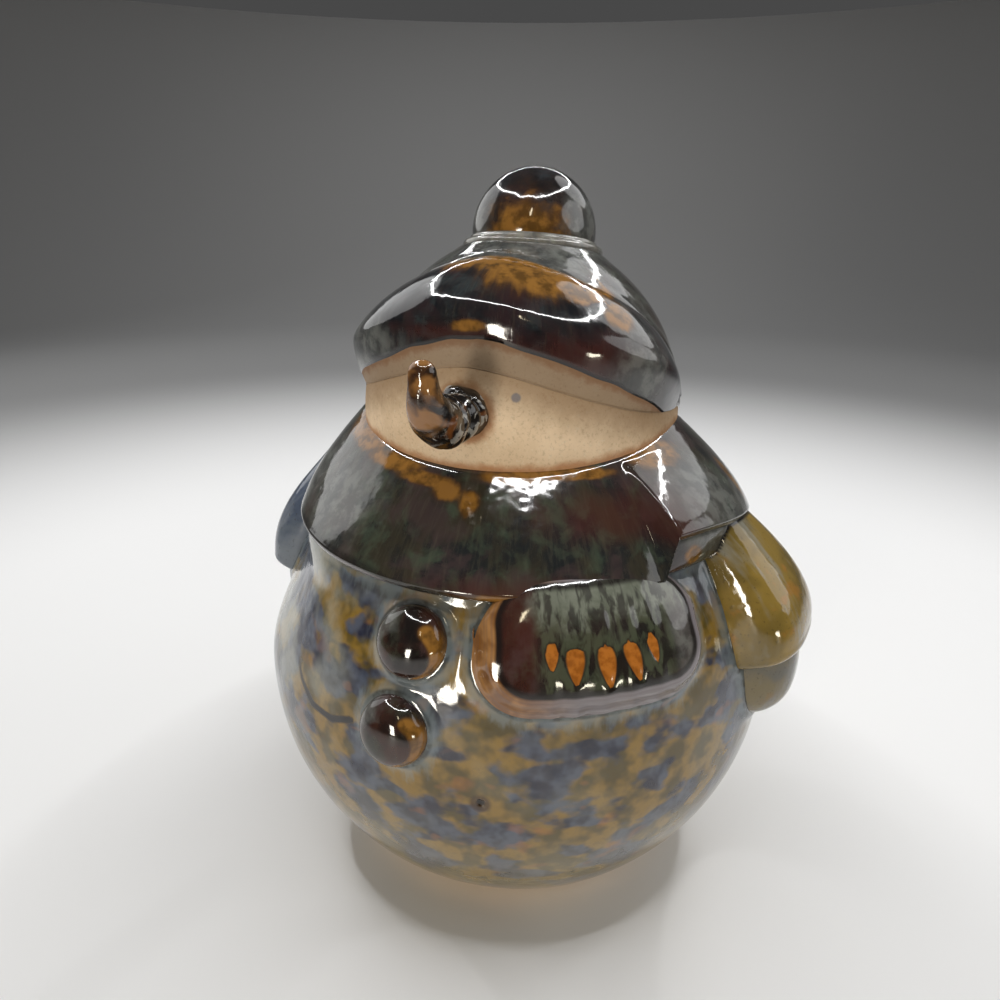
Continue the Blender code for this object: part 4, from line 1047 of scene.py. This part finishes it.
def studio():
    """A pale round floor that darkens with distance and sweeps up all round, and a plain dark sky above it."""
    outline = [(0.2, 0.0), (0.4, 0.0), (FLOOR_R, 0.0)]
    outline += [(FLOOR_R + SWEEP_R * sin(t), SWEEP_R - SWEEP_R * cos(t))
                for t in np.radians(np.arange(6, 91, 6))]
    count = 96
    corners = [(0.0, 0.0, 0.0)] + [(r * cos(a), r * sin(a), z) for r, z in outline for a in full_turn(count)]
    faces = [(0, 1 + i, 1 + (i + 1) % count) for i in range(count)]
    for a in range(1, len(corners) - count, count):
        b = a + count
        faces += [(a + i, b + i, b + (i + 1) % count, a + (i + 1) % count) for i in range(count)]
    mesh = bpy.data.meshes.new("studio_sweep")
    mesh.from_pydata(corners, [], faces)
    mesh.shade_smooth()
    linked("studio_sweep", mesh)
    paper = Net("studio_paper", ior=PAPER_IOR)
    here = paper.make("ShaderNodeTexCoord", {}, "Object")
    reach = paper.make("ShaderNodeVectorMath", {0: here}, "Value", operation="LENGTH")
    fade = {"Value": reach, 1: PALE_UNTIL, 2: DARK_FROM, 3: PALE_FLOOR, 4: DARK_FLOOR}
    tone = paper.make("ShaderNodeMapRange", fade, interpolation_type="SMOOTHSTEP")
    paper.feed(paper.shader, "Base Color", tone)
    paper.feed(paper.shader, "Roughness", 0.6)
    mesh.materials.append(paper.material)
    sky = bpy.data.worlds.new("studio_sky")
    sky.use_nodes = True
    sky.node_tree.nodes["Background"].inputs["Color"].default_value = (SKY, SKY, SKY, 1.0)
    bpy.context.scene.world = sky


def lamp(name, place, turned_to, size, watts, tint=(1.0, 1.0, 1.0), shape="RECTANGLE"):
    light = bpy.data.lights.new(name, "AREA")
    light.shape = shape
    light.size, light.size_y = size
    light.energy, light.color = watts, tint
    made = linked(name, light)
    made.location, made.rotation_euler = place, turned_to
    made.visible_camera = False


def lamp_towards(name, azimuth, elevation, reach, size, watts, tint=(1.0, 1.0, 1.0)):
    """A lamp seen from the head at an azimuth and elevation in degrees."""
    a, e = rad(azimuth), rad(elevation)
    away = Vector((cos(e) * sin(a), -cos(e) * cos(a), sin(e)))
    turned_to = (-away).to_track_quat("-Z", "Y").to_euler()
    lamp(name, away * reach + Vector((0.0, 0.0, AIM_Z)), turned_to, size, watts, tint,
         "ELLIPSE" if size[0] > 0.15 else "RECTANGLE")


def ring_lamps(half_width, half_depth, behind, height, thickness, watts_a_metre, count=14):
    """An oval ring of thin strips overhead, square to the camera, with its middle behind the figure."""
    corners = [VIEW_RIGHT * half_width * sin(a) + VIEW_AWAY * (behind - half_depth * cos(a))
               for a in np.linspace(0, 2 * PI, count + 1)]
    for i, (first, second) in enumerate(zip(corners, corners[1:])):
        middle, along = (first + second) / 2, second - first
        lamp("ring_%d" % i, (middle.x, middle.y, height), (0.0, 0.0, math.atan2(along.y, along.x)),
             (along.length, thickness), watts_a_metre * along.length)


def camera():
    """The photograph's view, from the front and a little to the figure's left, looking down on it."""
    ahead = VIEW_AWAY * cos(VIEW_PITCH) - Vector((0, 0, sin(VIEW_PITCH)))
    upright = Matrix((VIEW_RIGHT, VIEW_RIGHT.cross(ahead), -ahead)).transposed()
    lens = bpy.data.cameras.new("camera")
    lens.sensor_width, lens.lens = SENSOR, LENS
    lens.clip_start = 0.01
    made = linked("camera", lens)
    made.matrix_world = (upright @ Matrix.Rotation(VIEW_ROLL, 3, "Z")).to_4x4()
    made.location = VIEW_RIGHT * VIEW_ASIDE - VIEW_AWAY * VIEW_BACK + Vector((0, 0, VIEW_Z)) + Vector(AXIS)
    bpy.context.scene.camera = made


studio()
ring_lamps(half_width=0.28, half_depth=0.46, behind=0.32, height=0.45, thickness=0.006, watts_a_metre=1.6)
lamp_towards("panel_left", -106, 24, 0.65, (0.6, 0.5), 0.9)
lamp_towards("panel_right", 108, 26, 0.65, (0.55, 0.45), 0.9)
lamp_towards("panel_back", 154, 40, 0.6, (0.4, 0.4), 0.6)
lamp_towards("window", -5, 2, 0.6, (0.08, 0.17), 1.2, (1.0, 0.94, 0.82))
lamp_towards("window_right", 54, -5, 0.6, (0.12, 0.05), 0.35, (1.0, 0.93, 0.74))
lamp_towards("warm_slot", 15, 41, 0.6, (0.02, 0.1), 0.12, (1.0, 0.86, 0.6))
bpy.context.scene.view_settings.view_transform = "Standard"
camera()
